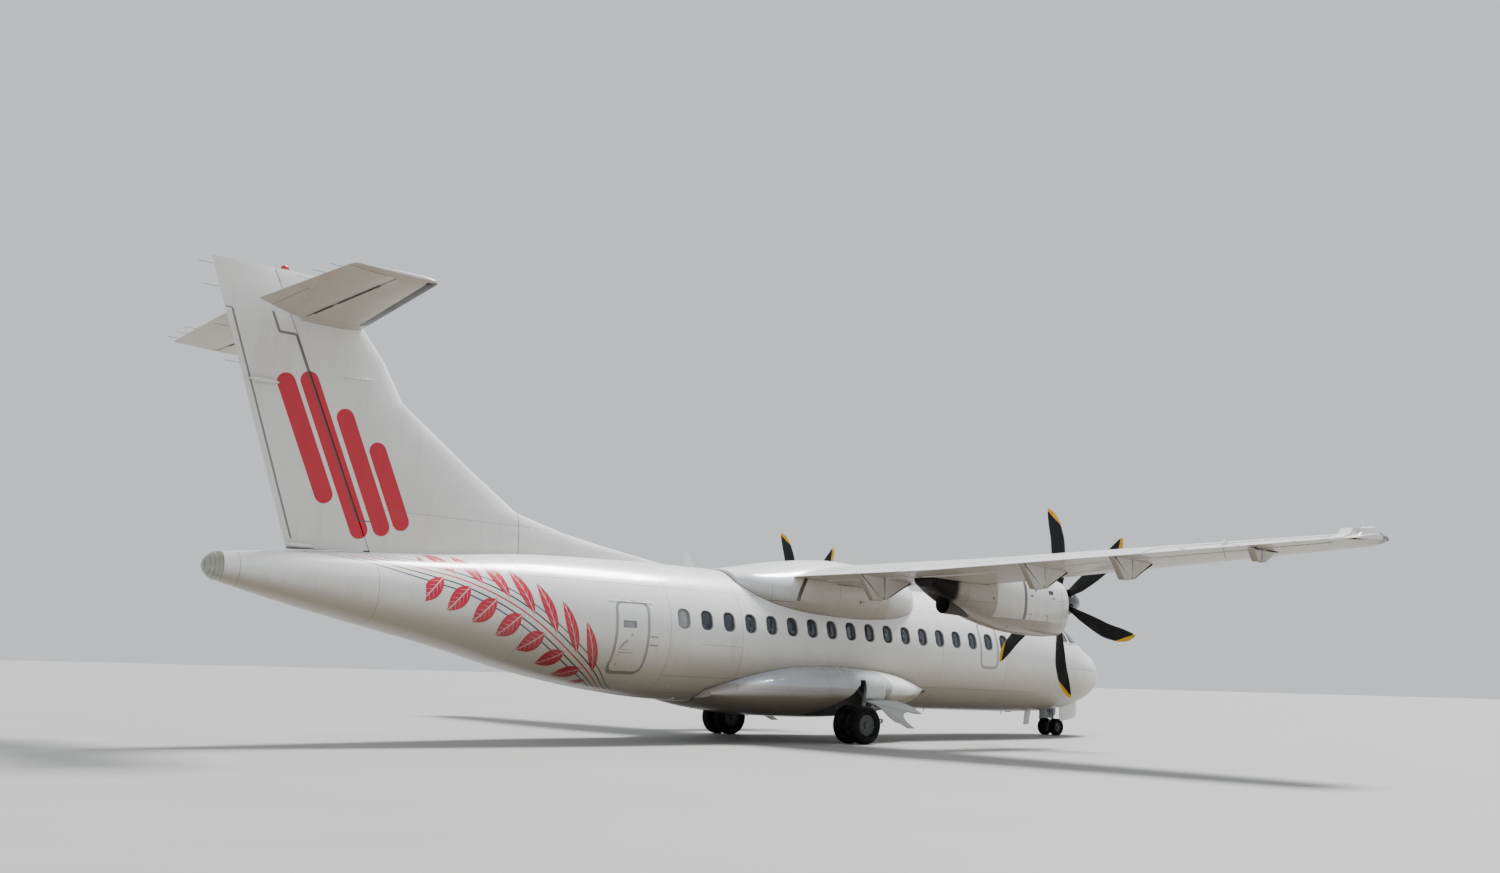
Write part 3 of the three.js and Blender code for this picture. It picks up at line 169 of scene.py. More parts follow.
floor_paint, net, shader = material("floor_screed", roughness=0.65)
mottle = net.noise(net.add("TexCoord", output="Object"), 0.35, 5)
net.feed(shader.inputs["Base Color"], net.mix(mottle, (0.31, 0.307, 0.297), (0.37, 0.367, 0.355)))
floor_mesh = bmesh.new()
bmesh.ops.create_circle(floor_mesh, cap_ends=True, segments=64, radius=FLOOR_RADIUS)
floor = shell(floor_mesh, "floor", floor_paint)

sky = bpy.data.worlds.new("studio")
sky.use_nodes = True
background = sky.node_tree.nodes["Background"].inputs
background["Color"].default_value = (0.86, 0.9, 0.95, 1)
background["Strength"].default_value = 0.85
bpy.context.scene.world = sky
lamp_data = bpy.data.lights.new("overhead", "SUN")
lamp_data.energy = 7.6
lamp_data.angle = math.radians(16)
lamp = bpy.data.objects.new("overhead", lamp_data)
lamp.rotation_euler = Vector((-1.97, -0.49, -3.6)).to_track_quat("-Z", "Y").to_euler()
bpy.context.scene.collection.objects.link(lamp)

# Fuselage: a riveted aluminium tube of 2.87 m, in white gloss paint, greyed and browned below by dirt and
# painted shade.
# It is drawn level, as stations aft of the nose, offsets to port and heights, and then parked nose down.
NOSE_DOWN = math.radians(1)
MAIN_GEAR = 10.232
PARKED = (Matrix.Translation((1.0783, 0, 0)) @ Matrix.Rotation(NOSE_DOWN, 4, "Y")
          @ Matrix.Translation((MAIN_GEAR, 0, 0)))
# Columns: station, half width, top, bottom, height of the widest line
FUSELAGE = [
    (0, 0.025, 1.705, 1.655, 1.68), (0.04, 0.19, 1.85, 1.5, 1.678), (0.15, 0.37, 2.0, 1.335, 1.675),
    (0.35, 0.565, 2.15, 1.185, 1.68), (0.7, 0.79, 2.315, 1.03, 1.7), (1.15, 0.985, 2.45, 0.895, 1.74),
    (1.6, 1.13, 2.73, 0.805, 1.78), (2.05, 1.24, 3.0, 0.75, 1.815), (2.7, 1.345, 3.19, 0.714, 1.855),
    (3.5, 1.415, 3.295, 0.698, 1.885), (4.4, 1.4325, 3.327, 0.695, 1.894),
    (12.7, 1.4325, 3.327, 0.695, 1.894), (14.0, 1.415, 3.322, 0.738, 1.925),
    (15.2, 1.345, 3.3, 0.852, 1.995), (16.7, 1.175, 3.248, 1.09, 2.115),
    (18.6, 0.88, 3.085, 1.53, 2.285), (20.0, 0.665, 2.99, 1.812, 2.392), (21.3, 0.445, 2.895, 2.092, 2.49),
    (22.25, 0.238, 2.798, 2.322, 2.56),
]
UPPER_POWER, LOWER_POWER = 2, 2.25
WINDOW = {"count": 18, "first": 4.982, "pitch": 0.5376, "height": 2.228, "length": 0.256, "tall": 0.344,
          "corner": 0.105}
HATCH_WINDOW = 1
NOSE_BAY = (0.76, 2.12, 0.322, 1.33)


def smooth_row(table, value, warp=lambda v: v):
    """A table's row at a value of its first column, on curves through its rows that never overshoot them."""
    places = [warp(row[0]) for row in table]
    place = min(max(warp(value), places[0]), places[-1])
    i = max(n for n in range(len(table) - 1) if n == 0 or places[n] <= place)
    width = places[i + 1] - places[i]
    t = (place - places[i]) / width

    def rise(n, column):
        return (table[n + 1][column] - table[n][column]) / (places[n + 1] - places[n])

    def slope(n, column):
        if n in (0, len(table) - 1):
            return rise(max(n - 1, 0), column)
        before, after = rise(n - 1, column), rise(n, column)
        return 2 * before * after / (before + after) if before * after > 0 else 0

    def at_column(column):
        low, high = table[i][column], table[i + 1][column]
        return (low * (1 + 2 * t) * (1 - t) ** 2 + high * t * t * (3 - 2 * t)
                + (slope(i, column) * (1 - t) - slope(i + 1, column) * t) * width * t * (1 - t))

    return (value, *(at_column(column) for column in range(1, len(table[0]))))


def oval(row, turn, offset=0.0, powers=(UPPER_POWER, LOWER_POWER), grow=0.0):
    """The level point at an angle round an oval section."""
    station, half_width, top, bottom, widest = row
    power = powers[0] if math.sin(turn) > 0 else powers[1]
    height = (top - widest if math.sin(turn) > 0 else widest - bottom) + grow
    bend = [math.copysign(abs(part) ** (2 / power), part) for part in (math.cos(turn), math.sin(turn))]
    return Vector((-station, offset + (half_width + grow) * bend[0], widest + height * bend[1]))


def sheet(bm, columns, rows, place):
    """A grid of faces bent round into a tube, its points placed by a formula of column and row."""
    grid = bmesh.ops.create_grid(bm, x_segments=columns, y_segments=rows, size=1)["verts"]
    for vert in grid:
        vert.co = place(round((vert.co.x + 1) / 2 * columns) % columns, round((vert.co.y + 1) / 2 * rows))
    bmesh.ops.remove_doubles(bm, verts=grid, dist=1e-6)


def tube(rings):
    """A closed body through rings of level points."""
    bm = bmesh.new()
    sheet(bm, len(rings[0]), len(rings) - 1, lambda column, row: rings[row][column])
    bmesh.ops.holes_fill(bm, edges=[edge for edge in bm.edges if edge.is_boundary], sides=0)
    return bm


def oval_body(table, stations, columns, **shape):
    warp = shape.pop("warp", lambda v: v)
    rows = [smooth_row(table, station, warp) for station in stations]
    turns = [2 * math.pi * n / columns for n in range(columns)]
    return tube([[oval(row, turn, **shape) for turn in turns] for row in rows])


def spread(low, high, count):
    """Values from low up to, but without, high."""
    return [low + (high - low) * n / count for n in range(count)]


def piece(bm, name, *materials, smooth=40):
    """An object drawn level and then parked as the airliner stands."""
    bmesh.ops.transform(bm, matrix=PARKED, verts=bm.verts)
    return shell(bm, name, *materials, smooth=smooth)


def fitted(made, body, slot, *replaced):
    """Puts a finished piece on its body, in place of the plain nodes it stands for; its slot is not used."""
    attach(made, body)
    if replaced:
        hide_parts(*replaced)
    return made


def hull(name, grow=0.0, *materials):
    stations = [v * v for v in spread(0, 2.1, 36)] + spread(4.41, 12.7, 6) + spread(12.7, 22.25, 34) + [22.25]
    body = oval_body(FUSELAGE, stations, 96, grow=grow, warp=math.sqrt)
    return piece(body, name, *materials)


def on_skin(station, height, side=1, grow=0.0):
    """The level point of the fuselage's skin at a station and a height, on one side."""
    _, half_width, top, bottom, widest = smooth_row(FUSELAGE, station, math.sqrt)
    upper = height > widest
    power = UPPER_POWER if upper else LOWER_POWER
    share = min(abs(height - widest) / ((top - widest if upper else widest - bottom) + grow), 1)
    return Vector((-station, side * (half_width + grow) * (1 - share ** power) ** (1 / power), height))


def soften(bm, parts, offset, segments, affect="EDGES"):
    return bmesh.ops.bevel(bm, geom=parts, offset=offset, segments=segments, profile=0.5, affect=affect,
                           material=-1)


def box(bm, low, high, corner=0.0, axis=1, segments=6):
    """Adds a box between two level corners, with its edges along one axis rounded, or all for axis None."""
    low, high = ([min(pair) for pair in zip(low, high)], [max(pair) for pair in zip(low, high)])
    middle = (Vector(low) + Vector(high)) / 2
    size = Vector(high) - Vector(low)
    place = Matrix.Translation(middle) @ Matrix.Diagonal((*size, 1))
    verts = bmesh.ops.create_cube(bm, size=1, matrix=place)["verts"]
    if corner:
        edges = {edge for vert in verts for edge in vert.link_edges}
        rounded = [edge for edge in edges if axis is None
                   or abs((edge.verts[0].co - edge.verts[1].co)[axis]) > size[axis] / 2]
        soften(bm, rounded, corner, segments)


def side_box(bm, side, station0, station1, low, high, corner, near=0.4, far=1.55):
    box(bm, (-station0, side * near, low), (-station1, side * far, high), corner)


def carve(target, tool, operation="DIFFERENCE", keep=False):
    """Cuts or trims a piece by a tool, which is thrown away unless it is kept."""
    cut = target.modifiers.new("cut", "BOOLEAN")
    cut.operation = operation
    cut.object = tool
    cut.solver = "EXACT"
    cut.material_mode = "TRANSFER"
    bpy.context.view_layer.update()
    shaped = bpy.data.meshes.new_from_object(target.evaluated_get(bpy.context.evaluated_depsgraph_get()))
    target.modifiers.remove(cut)
    old = target.data
    target.data = shaped
    bpy.data.meshes.remove(old)
    shaped.name = target.name
    if not keep:
        bpy.data.objects.remove(tool)
    return target


def new_group(name, inputs, outputs):
    """A new shader node group: its net, its inputs by name and its outputs to feed.

    A socket is a float unless its name is followed by a colon and another kind.
    """
    tree = bpy.data.node_groups.new(name, "ShaderNodeTree")
    for sockets, way in ((inputs, "INPUT"), (outputs, "OUTPUT")):
        for key in sockets:
            label, _, kind = key.partition(":")
            tree.interface.new_socket(label, in_out=way, socket_type="NodeSocket" + (kind or "Float"))
    net, entry = Net(tree), tree.nodes.new("NodeGroupInput")
    given = {socket.name: Wire(net, socket) for socket in entry.outputs}
    return net, given, tree.nodes.new("NodeGroupOutput").inputs


net, _, put = new_group("level_place", [], ["Point:Vector", "Station", "Offset", "Height", "Facing"])
level = net.add("Mapping", {"Vector": net.add("TexCoord", output="Object"), "Rotation": (0, -NOSE_DOWN, 0),
                            "Location": PARKED.inverted().translation})
net.feed(put["Point"], level)
net.feed(put["Station"], net.add("SeparateXYZ", {0: level}, 0) * -1)
net.feed(put["Offset"], net.add("SeparateXYZ", {0: level}, 1))
net.feed(put["Height"], net.add("SeparateXYZ", {0: level}, 2))
net.feed(put["Facing"], net.add("SeparateXYZ", {0: net.add("TexCoord", output="Normal")}, 2))

net, get, put = new_group("seam", ["Value", "At", "Width"], ["Mask"])
net.feed(put["Mask"], net.fade(abs(get["Value"] - get["At"]) / get["Width"], 0.8, 0.35))

net, get, put = new_group("span", ["Value", "Low", "High"], ["Mask"])
net.feed(put["Mask"], (get["Value"] > get["Low"]) * (get["Value"] < get["High"]))

net, get, put = new_group("round_box", ["X", "Z", "Middle X", "Middle Z", "Length", "Tall", "Corner"],
                          ["Distance"])
past = [abs(get[way] - get["Middle " + way]) - (get[size] / 2 - get["Corner"])
        for way, size in (("X", "Length"), ("Z", "Tall"))]
outer = [net.most(part, 0) for part in past]
round_part = net.math("SQRT", outer[0] * outer[0] + outer[1] * outer[1])
inner = net.math("MINIMUM", net.most(*past), 0)
net.feed(put["Distance"], round_part + inner - get["Corner"])

# Aged paint: blotches and streaks of wear, fine specks, drawn lines, and painted shade on faces that point
# down.
net, get, put = new_group("aged_paint", ["Paint:Color", "Point:Vector", "Facing", "Lines", "Under"],
                          ["Color:Color", "Roughness", "Height"])
blotch = net.noise(get["Point"], 0.9, 4)
streak = net.noise(net.scaled(get["Point"], 7, 7, 0.8), 1.0, 3)
speck = net.noise(get["Point"], 60, 2)
# Painted shade, with some dirt: faces that point down are tinted grey-brown and blotched darker; Under sets
# how strong it is.
under = net.fade(get["Facing"], 0.3, -0.65) * get["Under"]
worn = net.fade(blotch, 0.35, 0.75) * 0.5 + net.fade(streak, 0.45, 0.8) * 0.5
shaded = net.mix(under, get["Paint"], net.mix(1.0, get["Paint"], (0.4, 0.35, 0.28), "MULTIPLY"))
grime_and_shade_tint = net.mix(1.0, get["Paint"], (0.4, 0.35, 0.29), "MULTIPLY")
dirt_and_shade = net.mix(worn * (under * 0.6 + 0.12), shaded, grime_and_shade_tint)
drawn = net.math("MULTIPLY", get["Lines"], 0.85, clamp=True)
net.feed(put["Color"], net.mix(drawn, dirt_and_shade, (0.09, 0.08, 0.07)))
net.feed(put["Roughness"], worn * 0.16 + under * 0.15 + 0.22)
net.feed(put["Height"], speck * 0.015 - get["Lines"])

WHITE = (0.84, 0.84, 0.82)
PAINT_COAT = 0.3


def paint(name, colour=WHITE, lines=None, under=1.0):
    """White paint over a skin; lines is a function that draws its colours, seams and bare metal. under sets
    how strong the painted shade on faces that point down is.
    """
    made, net, shader = material(name, coat=PAINT_COAT, Coat_Roughness=0.08)
    place = net.group("level_place")
    drawn = lines(net, place) if lines else (colour, 0.0)
    worn_and_shaded = net.group("aged_paint", Paint=drawn[0], Point=place["Point"], Facing=place["Facing"],
                     Lines=drawn[1], Under=under)
    relief = net.add("Bump", {"Height": worn_and_shaded["Height"], "Distance": 0.003, "Strength": 0.6})
    net.feed(shader.inputs["Base Color"], worn_and_shaded["Color"])
    net.feed(shader.inputs["Roughness"], worn_and_shaded["Roughness"])
    net.feed(shader.inputs["Normal"], relief)
    if len(drawn) > 2:
        net.feed(shader.inputs["Metallic"], drawn[2])
        net.feed(shader.inputs["Coat Weight"], (1 - drawn[2]) * PAINT_COAT)
    return made


def mottled(name, scale, detail, first, second, rough=None, **settings):
    """A material in soft blotches of two colours, its roughness varying with them where that is given."""
    made, net, shader = material(name, **settings)
    grain = net.noise(net.group("level_place")["Point"], scale, detail)
    net.feed(shader.inputs["Base Color"], net.mix(grain, first, second))
    if rough:
        net.feed(shader.inputs["Roughness"], grain * rough[1] + rough[0])
    return made


def span(net, value, low, high):
    return net.group("span", Value=value, Low=low, High=high)["Mask"]


def seam(net, value, at, width=0.006, across=None, low=0.0, high=0.0):
    """A line where a value passes a number, all along it or only from low to high of another value."""
    line = net.group("seam", Value=value, At=at, Width=width)["Mask"]
    return line if across is None else line * span(net, across, low, high)


def band(net, value, low, high, soft=0.003):
    return net.fade(value, low - soft, low + soft) * net.fade(value, high + soft, high - soft)


def from_box(net, place, middle, rise, length, tall, corner):
    """How far a point of the side lies outside a box with round corners."""
    return net.group("round_box", X=place["Station"], Z=place["Height"], Middle_X=middle, Middle_Z=rise,
                     Length=length, Tall=tall, Corner=corner)["Distance"]


# The skin's ring joints and lap joints. Columns: station or height, then where it starts and ends along that
RING_SEAMS = [(2.98, 0.6, 3.4), (4.88, 0.6, 3.4), (7.05, 0.9, 3.4), (12.72, 0.6, 3.4), (14.42, 0.6, 3.4),
              (17.35, 0.6, 3.4), (19.87, 1.6, 3.1), (22.02, 2.2, 3.0)]
LAP_SEAMS = [(1.757, 0.3, 3.0), (2.79, 2.98, 17.3), (1.17, 2.98, 14.4), (1.77, 12.72, 13.7),
             (0.86, 12.72, 14.4)]
# Columns: name, side, first and last station, sill, top
DOORS = [("passenger_door", 1, 14.92, 15.56, 1.236, 2.986), ("cargo_door", 1, 3.56, 4.835, 1.245, 2.775),
         ("service_door", -1, 14.93, 15.54, 1.215, 2.435), ("exit_hatch_left", 1, 5.25, 5.76, 1.69, 2.6),
         ("exit_hatch_right", -1, 5.25, 5.76, 1.69, 2.6)]
DOOR_CORNER = 0.11


def window_distance(net, place):
    """How far a point of the skin lies outside the nearest cabin window's edge."""
    along = net.math("ROUND", (place["Station"] - WINDOW["first"]) / WINDOW["pitch"])
    nearest = net.most(net.math("MINIMUM", along, WINDOW["count"] - 1), 0)
    return from_box(net, place, nearest * WINDOW["pitch"] + WINDOW["first"], WINDOW["height"],
                    WINDOW["length"], WINDOW["tall"], WINDOW["corner"])


def skin_lines(net, place):
    station, height = place["Station"], place["Height"]
    seams = [seam(net, station, at, 0.006, height, low, high) for at, low, high in RING_SEAMS]
    seams += [seam(net, height, at, 0.006, station, first, last) for at, first, last in LAP_SEAMS]
    seams.append(band(net, window_distance(net, place), -0.004, 0.014) * 1.1)
    trim = []
    for _, side, first, last, low, high in DOORS:
        away = from_box(net, place, (first + last) / 2, (low + high) / 2, last - first, high - low,
                        DOOR_CORNER)
        on_side = place["Offset"] * side > 0
        trim.append(band(net, away, 0.004, 0.05) * on_side)
        seams.append(band(net, away, 0.047, 0.054, 0.002) * on_side)
    trimmed = net.mix(net.most(*trim) * 0.85, WHITE, (0.3, 0.31, 0.31))
    return striped(net, place, trimmed), net.most(*seams)


# Columns: station, angle of the middle stripe above the tube's widest line in degrees
STRIPE_PATH = [(14.6, -90), (15.06, -78.3), (15.754, -49.3), (16.206, -34.7), (18.467, 23.6),
               (18.975, 31.7), (19.466, 41.1), (20.59, 74), (21, 88)]
# The station where the path begins, and how far it reaches aft
PATH_START, PATH_LENGTH = 14, 8
# Columns: distance from the middle stripe, colour
STRIPES = [(0.2, (0.1, 0.13, 0.22)), (0.1, (0.012, 0.012, 0.015)), (0.0, (0.6, 0.004, 0.03)),
           (-0.1, (0.012, 0.012, 0.015)), (-0.2, (0.02, 0.03, 0.14))]
LEAVES = {"first": 15.75, "last": 19.1, "pitch": 0.46, "reach": 0.31, "length": 0.33, "width": 0.125,
          "lean": 38}

net, get, put = new_group("stripe_place", ["Station", "Offset", "Height"], ["Away"])
middle = (get["Station"] - PATH_START) * 0.0785 + 1.925
turn = net.math("ARCTAN2", get["Height"] - middle, abs(get["Offset"]))
path = net.add("FloatCurve", {"Value": (get["Station"] - PATH_START) / PATH_LENGTH})
mapping = path.socket.node.mapping
points = mapping.curves[0].points
shares = [((station - PATH_START) / PATH_LENGTH, (angle + 90) / 180) for station, angle in STRIPE_PATH]
points[0].location, points[1].location = shares[0], shares[-1]
for share in shares[1:-1]:
    points.new(*share)
mapping.extend = "HORIZONTAL"
mapping.update()
wanted = net.math("RADIANS", path * 180 - 90)
radius = 0.97 - (get["Station"] - 16) * 0.0712
net.feed(put["Away"], (turn - wanted) * radius)

net, get, put = new_group("leaf", ["Along", "Across"], ["Fill", "Rib"])
beside = abs(get["Across"])
veins = net.fade(net.math("PINGPONG", get["Along"] - beside * 0.5, 0.16), 0.02, 0.01)
net.feed(put["Fill"], net.fade(1 - get["Along"] * get["Along"] - beside, 0, 0.03))
net.feed(put["Rib"], net.most(net.fade(beside, 0.09, 0.05), veins * net.fade(beside, 0.9, 0.2)))


def striped(net, place, ground):
    """Five fine stripes that climb round the tail, with a garland of plain leaves along them."""
    station = place["Station"]
    away = net.group("stripe_place", Station=station, Offset=place["Offset"], Height=place["Height"])["Away"]
    aft = span(net, station, 14.62, 20.98)
    for at, colour in STRIPES:
        ground = net.mix(net.fade(abs(away - at), 0.014, 0.009) * aft, ground, colour)
    here = span(net, station, LEAVES["first"], LEAVES["last"])
    lean = math.radians(LEAVES["lean"])
    for side in (1, -1):
        shift = LEAVES["first"] + (0 if side > 0 else LEAVES["pitch"] / 2)
        along = (net.math("FRACT", (station - shift) / LEAVES["pitch"]) - 0.5) * LEAVES["pitch"]
        out = away * side - LEAVES["reach"]
        leaf = net.group("leaf", Along=(along * math.sin(lean) + out * math.cos(lean)) / LEAVES["length"],
                         Across=(along * math.cos(lean) - out * math.sin(lean)) / LEAVES["width"])
        tinted = net.mix(leaf["Rib"], (0.62, 0.006, 0.04), (0.8, 0.5, 0.53))
        ground = net.mix(leaf["Fill"] * here, ground, tinted)
    return ground


def even_light(made, whole):
    """Gives a carved piece the light of the whole skin it was cut from, so that the cuts don't dent it."""
    tree = BVHTree.FromObject(whole, bpy.context.evaluated_depsgraph_get())
    spots, facets = whole.data.vertices, whole.data.polygons
    normals = []
    for polygon in made.data.polygons:
        for index in polygon.vertices:
            hit, _, face, away = tree.find_nearest(made.data.vertices[index].co)
            normal = polygon.normal
            if away < 2e-4:
                corners = [spots[i] for i in facets[face].vertices]
                weights = poly_3d_calc([corner.co for corner in corners], hit)
                smooth = sum((corner.normal * weight for corner, weight in zip(corners, weights)), Vector())
                if smooth.dot(normal) > 0.8:
                    normal = smooth.normalized()
            normals.append(normal)
    made.data.normals_split_custom_set(normals)


skin = paint("fuselage_skin", lines=skin_lines)
reveal = mottled("recess_lining", 12, 3, (0.4, 0.41, 0.4), (0.5, 0.51, 0.5), roughness=0.6)

fuselage = hull("fuselage_shell", 0.0, skin)
whole_hull = hull("whole_hull", 0.0, skin)
WINDOW_DEPTH = 0.045


def window_boxes(grow, chosen):
    """Blanks of the cabin windows, on both sides, those of the exit hatches or all the others."""
    bm = bmesh.new()
    for n in range(WINDOW["count"]):
        if (n == HATCH_WINDOW) == (chosen == "hatch"):
            middle = WINDOW["first"] + n * WINDOW["pitch"]
            reach, rise = WINDOW["length"] / 2 + grow, WINDOW["tall"] / 2 + grow
            for side in (1, -1):
                side_box(bm, side, middle - reach, middle + reach, WINDOW["height"] - rise,
                         WINDOW["height"] + rise, WINDOW["corner"] + grow, near=1.0, far=1.6)
    return bm


pockets = piece(window_boxes(0, "cabin"), "window_pockets", reveal)
carve(pockets, hull("inside", -WINDOW_DEPTH, reveal))
carve(fuselage, pockets)

# Recesses of the doors, with room for each swinging leaf; the exit hatches sit flush in theirs
LEAF = 0.09
TOOL_EXCESS = 0.0003
HINGE_OUTSIDE = 0.005
DOOR_GAP = 0.008
HATCH_GAP = 0.004
hinges = {"passenger_door": on_skin(14.92, 1.231, grow=HINGE_OUTSIDE),
          "cargo_door": on_skin(4.835, 2.78, grow=HINGE_OUTSIDE)}


def doorway(door, grow):
    _, side, station0, station1, low, high = door
    bm = bmesh.new()
    side_box(bm, side, station0 - grow, station1 + grow, low - grow, high + grow, DOOR_CORNER + grow)
    return bm


def rod(bm, start, end, radius, end_radius=None, sides=16, edge=0.0):
    """Adds a round bar between two level points, its rims rounded by edge."""
    start, end = Vector(start), Vector(end)
    turn = (end - start).to_track_quat("Z", "Y").to_matrix().to_4x4()
    made = bmesh.ops.create_cone(bm, cap_ends=True, segments=sides, radius1=radius,
                                 radius2=radius if end_radius is None else end_radius,
                                 depth=(end - start).length,
                                 matrix=Matrix.Translation((start + end) / 2) @ turn)
    if edge:
        rims = {line for vert in made["verts"] for line in vert.link_edges
                if any(len(face.verts) > 4 for face in line.link_faces)}
        soften(bm, list(rims), edge, 2)


def run(bm, points, radius, sides=10):
    """Adds a pipe or strip through level points, with round joints."""
    for start, end in zip(points, points[1:]):
        rod(bm, start, end, radius, sides=sides)
    for point in points[1:-1]:
        bmesh.ops.create_uvsphere(bm, u_segments=sides, v_segments=6, radius=radius,
                                  matrix=Matrix.Translation(point))


for door in DOORS:
    swings = not door[0].startswith("exit")
    recess = piece(doorway(door, DOOR_GAP if swings else TOOL_EXCESS), "recess", reveal)
    carve(recess, hull("inside", -LEAF - TOOL_EXCESS, reveal))
    carve(fuselage, recess)
    if door[0] in hinges:
        hinge = hinges[door[0]]
        deepest = min(abs(on_skin(station, hinge.z, grow=-LEAF).y) for station in door[2:4])
        room = bmesh.new()
        rod(room, (-door[2] + DOOR_GAP, hinge.y, hinge.z), (-door[3] - DOOR_GAP, hinge.y, hinge.z),
            abs(hinge.y) - deepest + DOOR_GAP, sides=48)
        room = piece(room, "room", reveal)
        carve(fuselage, carve(room, piece(doorway(door, DOOR_GAP), "limit", reveal), "INTERSECT"))
nose_bay = bmesh.new()
box(nose_bay, (-NOSE_BAY[0], -NOSE_BAY[2], 0.3), (-NOSE_BAY[1], NOSE_BAY[2], NOSE_BAY[3]))
carve(fuselage, piece(nose_bay, "bay", reveal))

# Cabin windows: stretched acrylic panes, dark from outside, each set back in its grey reveal.
# The last one on each side is blanked by a grey panel.
PANE_LAYER = (-0.018, -0.03)
LAST_PANES = 13.9
glass, net, shader = material("cabin_glass", roughness=0.05, coat=0.6, IOR=1.49)
place = net.group("level_place")
pane_tint = net.mix(net.noise(place["Point"], 5, 2), (0.012, 0.018, 0.03), (0.035, 0.045, 0.06))
blind = (place["Station"] > LAST_PANES) * 0.9
net.feed(shader.inputs["Base Color"], net.mix(blind, pane_tint, (0.3, 0.31, 0.31)))


def between(made, outer, inner, finish):
    """Trims a piece to the layer between two depths under the fuselage's skin."""
    carve(made, hull("inside", outer, finish), "INTERSECT")
    return carve(made, hull("inside", inner, finish))


panes = between(piece(window_boxes(0.001, "cabin"), "cabin_windows", glass), *PANE_LAYER, glass)
fitted(panes, "airframe", "glass")

# Doors and exit hatches: pressed aluminium leaves, painted as the skin round them.
# The service door has a handle, a small window and two hinge arms; the rear doors have dark marks of locks
# and edges.
metal = mottled("bare_fitting", 40, 3, (0.2, 0.21, 0.22), (0.32, 0.33, 0.34), (0.3, 0.25), roughness=0.4,
                metallic=0.8)
# Columns: station, height, length and height of the rear doors' dark marks: locks and recess edges
DOOR_MARKS = [(15.254, 1.873, 0.03, 0.04), (15.44, 1.34, 0.035, 0.035), (15.3, 1.6, 0.24, 0.008),
              (15.33, 1.545, 0.3, 0.014), (15.25, 1.84, 0.06, 0.008), (15.46, 1.5, 0.09, 0.01)]


def door_lines(net, place):
    rims = band(net, window_distance(net, place), -0.004, 0.014) * (place["Station"] < 13)
    marks = [net.fade(from_box(net, place, *mark, min(mark[2:]) * 0.45), 0.002, -0.002)
             for mark in DOOR_MARKS]
    return striped(net, place, WHITE), net.most(rims, *marks)


door_skin = paint("door_skin", lines=door_lines)
SERVICE_PANE = (15.166, 15.442, 1.992, 2.12)
HANDLE_PATH = [(15.327, 1.756), (15.36, 1.74), (15.4, 1.705), (15.435, 1.66), (15.463, 1.606)]
for door in DOORS:
    name, side, station0, station1, low, high = door
    swings = not name.startswith("exit")
    leaf = piece(doorway(door, 0 if swings else -HATCH_GAP), name + "_leaf", door_skin)
    between(leaf, 0, -LEAF, door_skin)
    if name == "passenger_door":
        hinge = hinges[name]
        sweep = bmesh.new()
        reach = math.hypot(hinge.y - on_skin(station0, high).y, high - hinge.z)
        rod(sweep, (-station0 + 0.01, hinge.y, hinge.z), (-station1 - 0.01, hinge.y, hinge.z), reach,
            sides=128)
        carve(leaf, piece(sweep, "sweep", door_skin), "INTERSECT")
    if not swings:
        tool = piece(window_boxes(0, "hatch"), "hatch_pockets", reveal)
        carve(tool, hull("inside", -WINDOW_DEPTH, reveal))
        carve(leaf, tool)
        pane = between(piece(window_boxes(0.001, "hatch"), "pane", glass), *PANE_LAYER, glass)
        half = bmesh.new()
        side_box(half, side, 4, 7, 1, 3, 0, near=0.2)
        carve(pane, piece(half, "half", glass), "INTERSECT").name = name + "_window"
        fitted(pane, "airframe", "glass")
    if name == "service_door":
        first, last, low, high = SERVICE_PANE
        opening, pane = bmesh.new(), bmesh.new()
        side_box(opening, side, first, last, low, high, 0.02, near=1.0)
        side_box(pane, side, first - 0.001, last + 0.001, low - 0.001, high + 0.001, 0.02, near=1.0)
        carve(leaf, carve(piece(opening, "opening", reveal), hull("inside", -WINDOW_DEPTH, reveal)))
        pane = between(piece(pane, "service_door_window", glass), -0.012, -0.024, glass)
        fitted(pane, "service_door_leaf", "glass")
        handle = bmesh.new()
        run(handle, [on_skin(*spot, side, 0.004) for spot in HANDLE_PATH], 0.012)
        fitted(piece(handle, "service_door_handle", metal), "service_door_leaf", "grey")
    even_light(leaf, whole_hull)
    fitted(leaf, name + "_leaf" if swings else "airframe", "white", name)

# Cockpit glazing: six panes of heated glass held by bolted frames, wrapped round the nose.
# The frame is a fibre panel painted white; the two front panes meet at a centre post.
GLAZING_DEPTH = 0.025
# Columns of the outlines: station, height
GLAZING = [(1.06, 2.455), (1.35, 2.4), (1.8, 2.335), (2.3, 2.335), (2.76, 2.38), (2.86, 2.47), (2.86, 2.64),
           (2.74, 2.76), (2.35, 2.86), (1.99, 2.99), (1.5, 2.9)]
FRONT_PANE = [(1.13, 2.468), (1.62, 2.385), (1.9, 2.9), (1.86, 3.1), (1.42, 3.1), (1.2, 2.7)]
SIDE_PANES = [[(1.7, 2.378), (2.25, 2.365), (2.25, 2.85), (1.98, 2.93)],
              [(2.33, 2.367), (2.72, 2.405), (2.815, 2.49), (2.815, 2.61), (2.7, 2.725), (2.33, 2.815)]]
CENTRE_POST = 0.035


def prism(bm, outline, near, far, corner=0.0):
    """Adds a plate of an outline of stations and heights, from one offset to another."""
    face = bm.faces.new([bm.verts.new((-station, near, height)) for station, height in outline])
    if corner:
        face = soften(bm, list(face.verts), corner, 4, "VERTICES")["verts"][0].link_faces[0]
    drawn = bmesh.ops.extrude_face_region(bm, geom=[face], use_keep_orig=True)["geom"]
    moved = [part for part in drawn if isinstance(part, bmesh.types.BMVert)]
    bmesh.ops.translate(bm, verts=moved, vec=(0, far - near, 0))


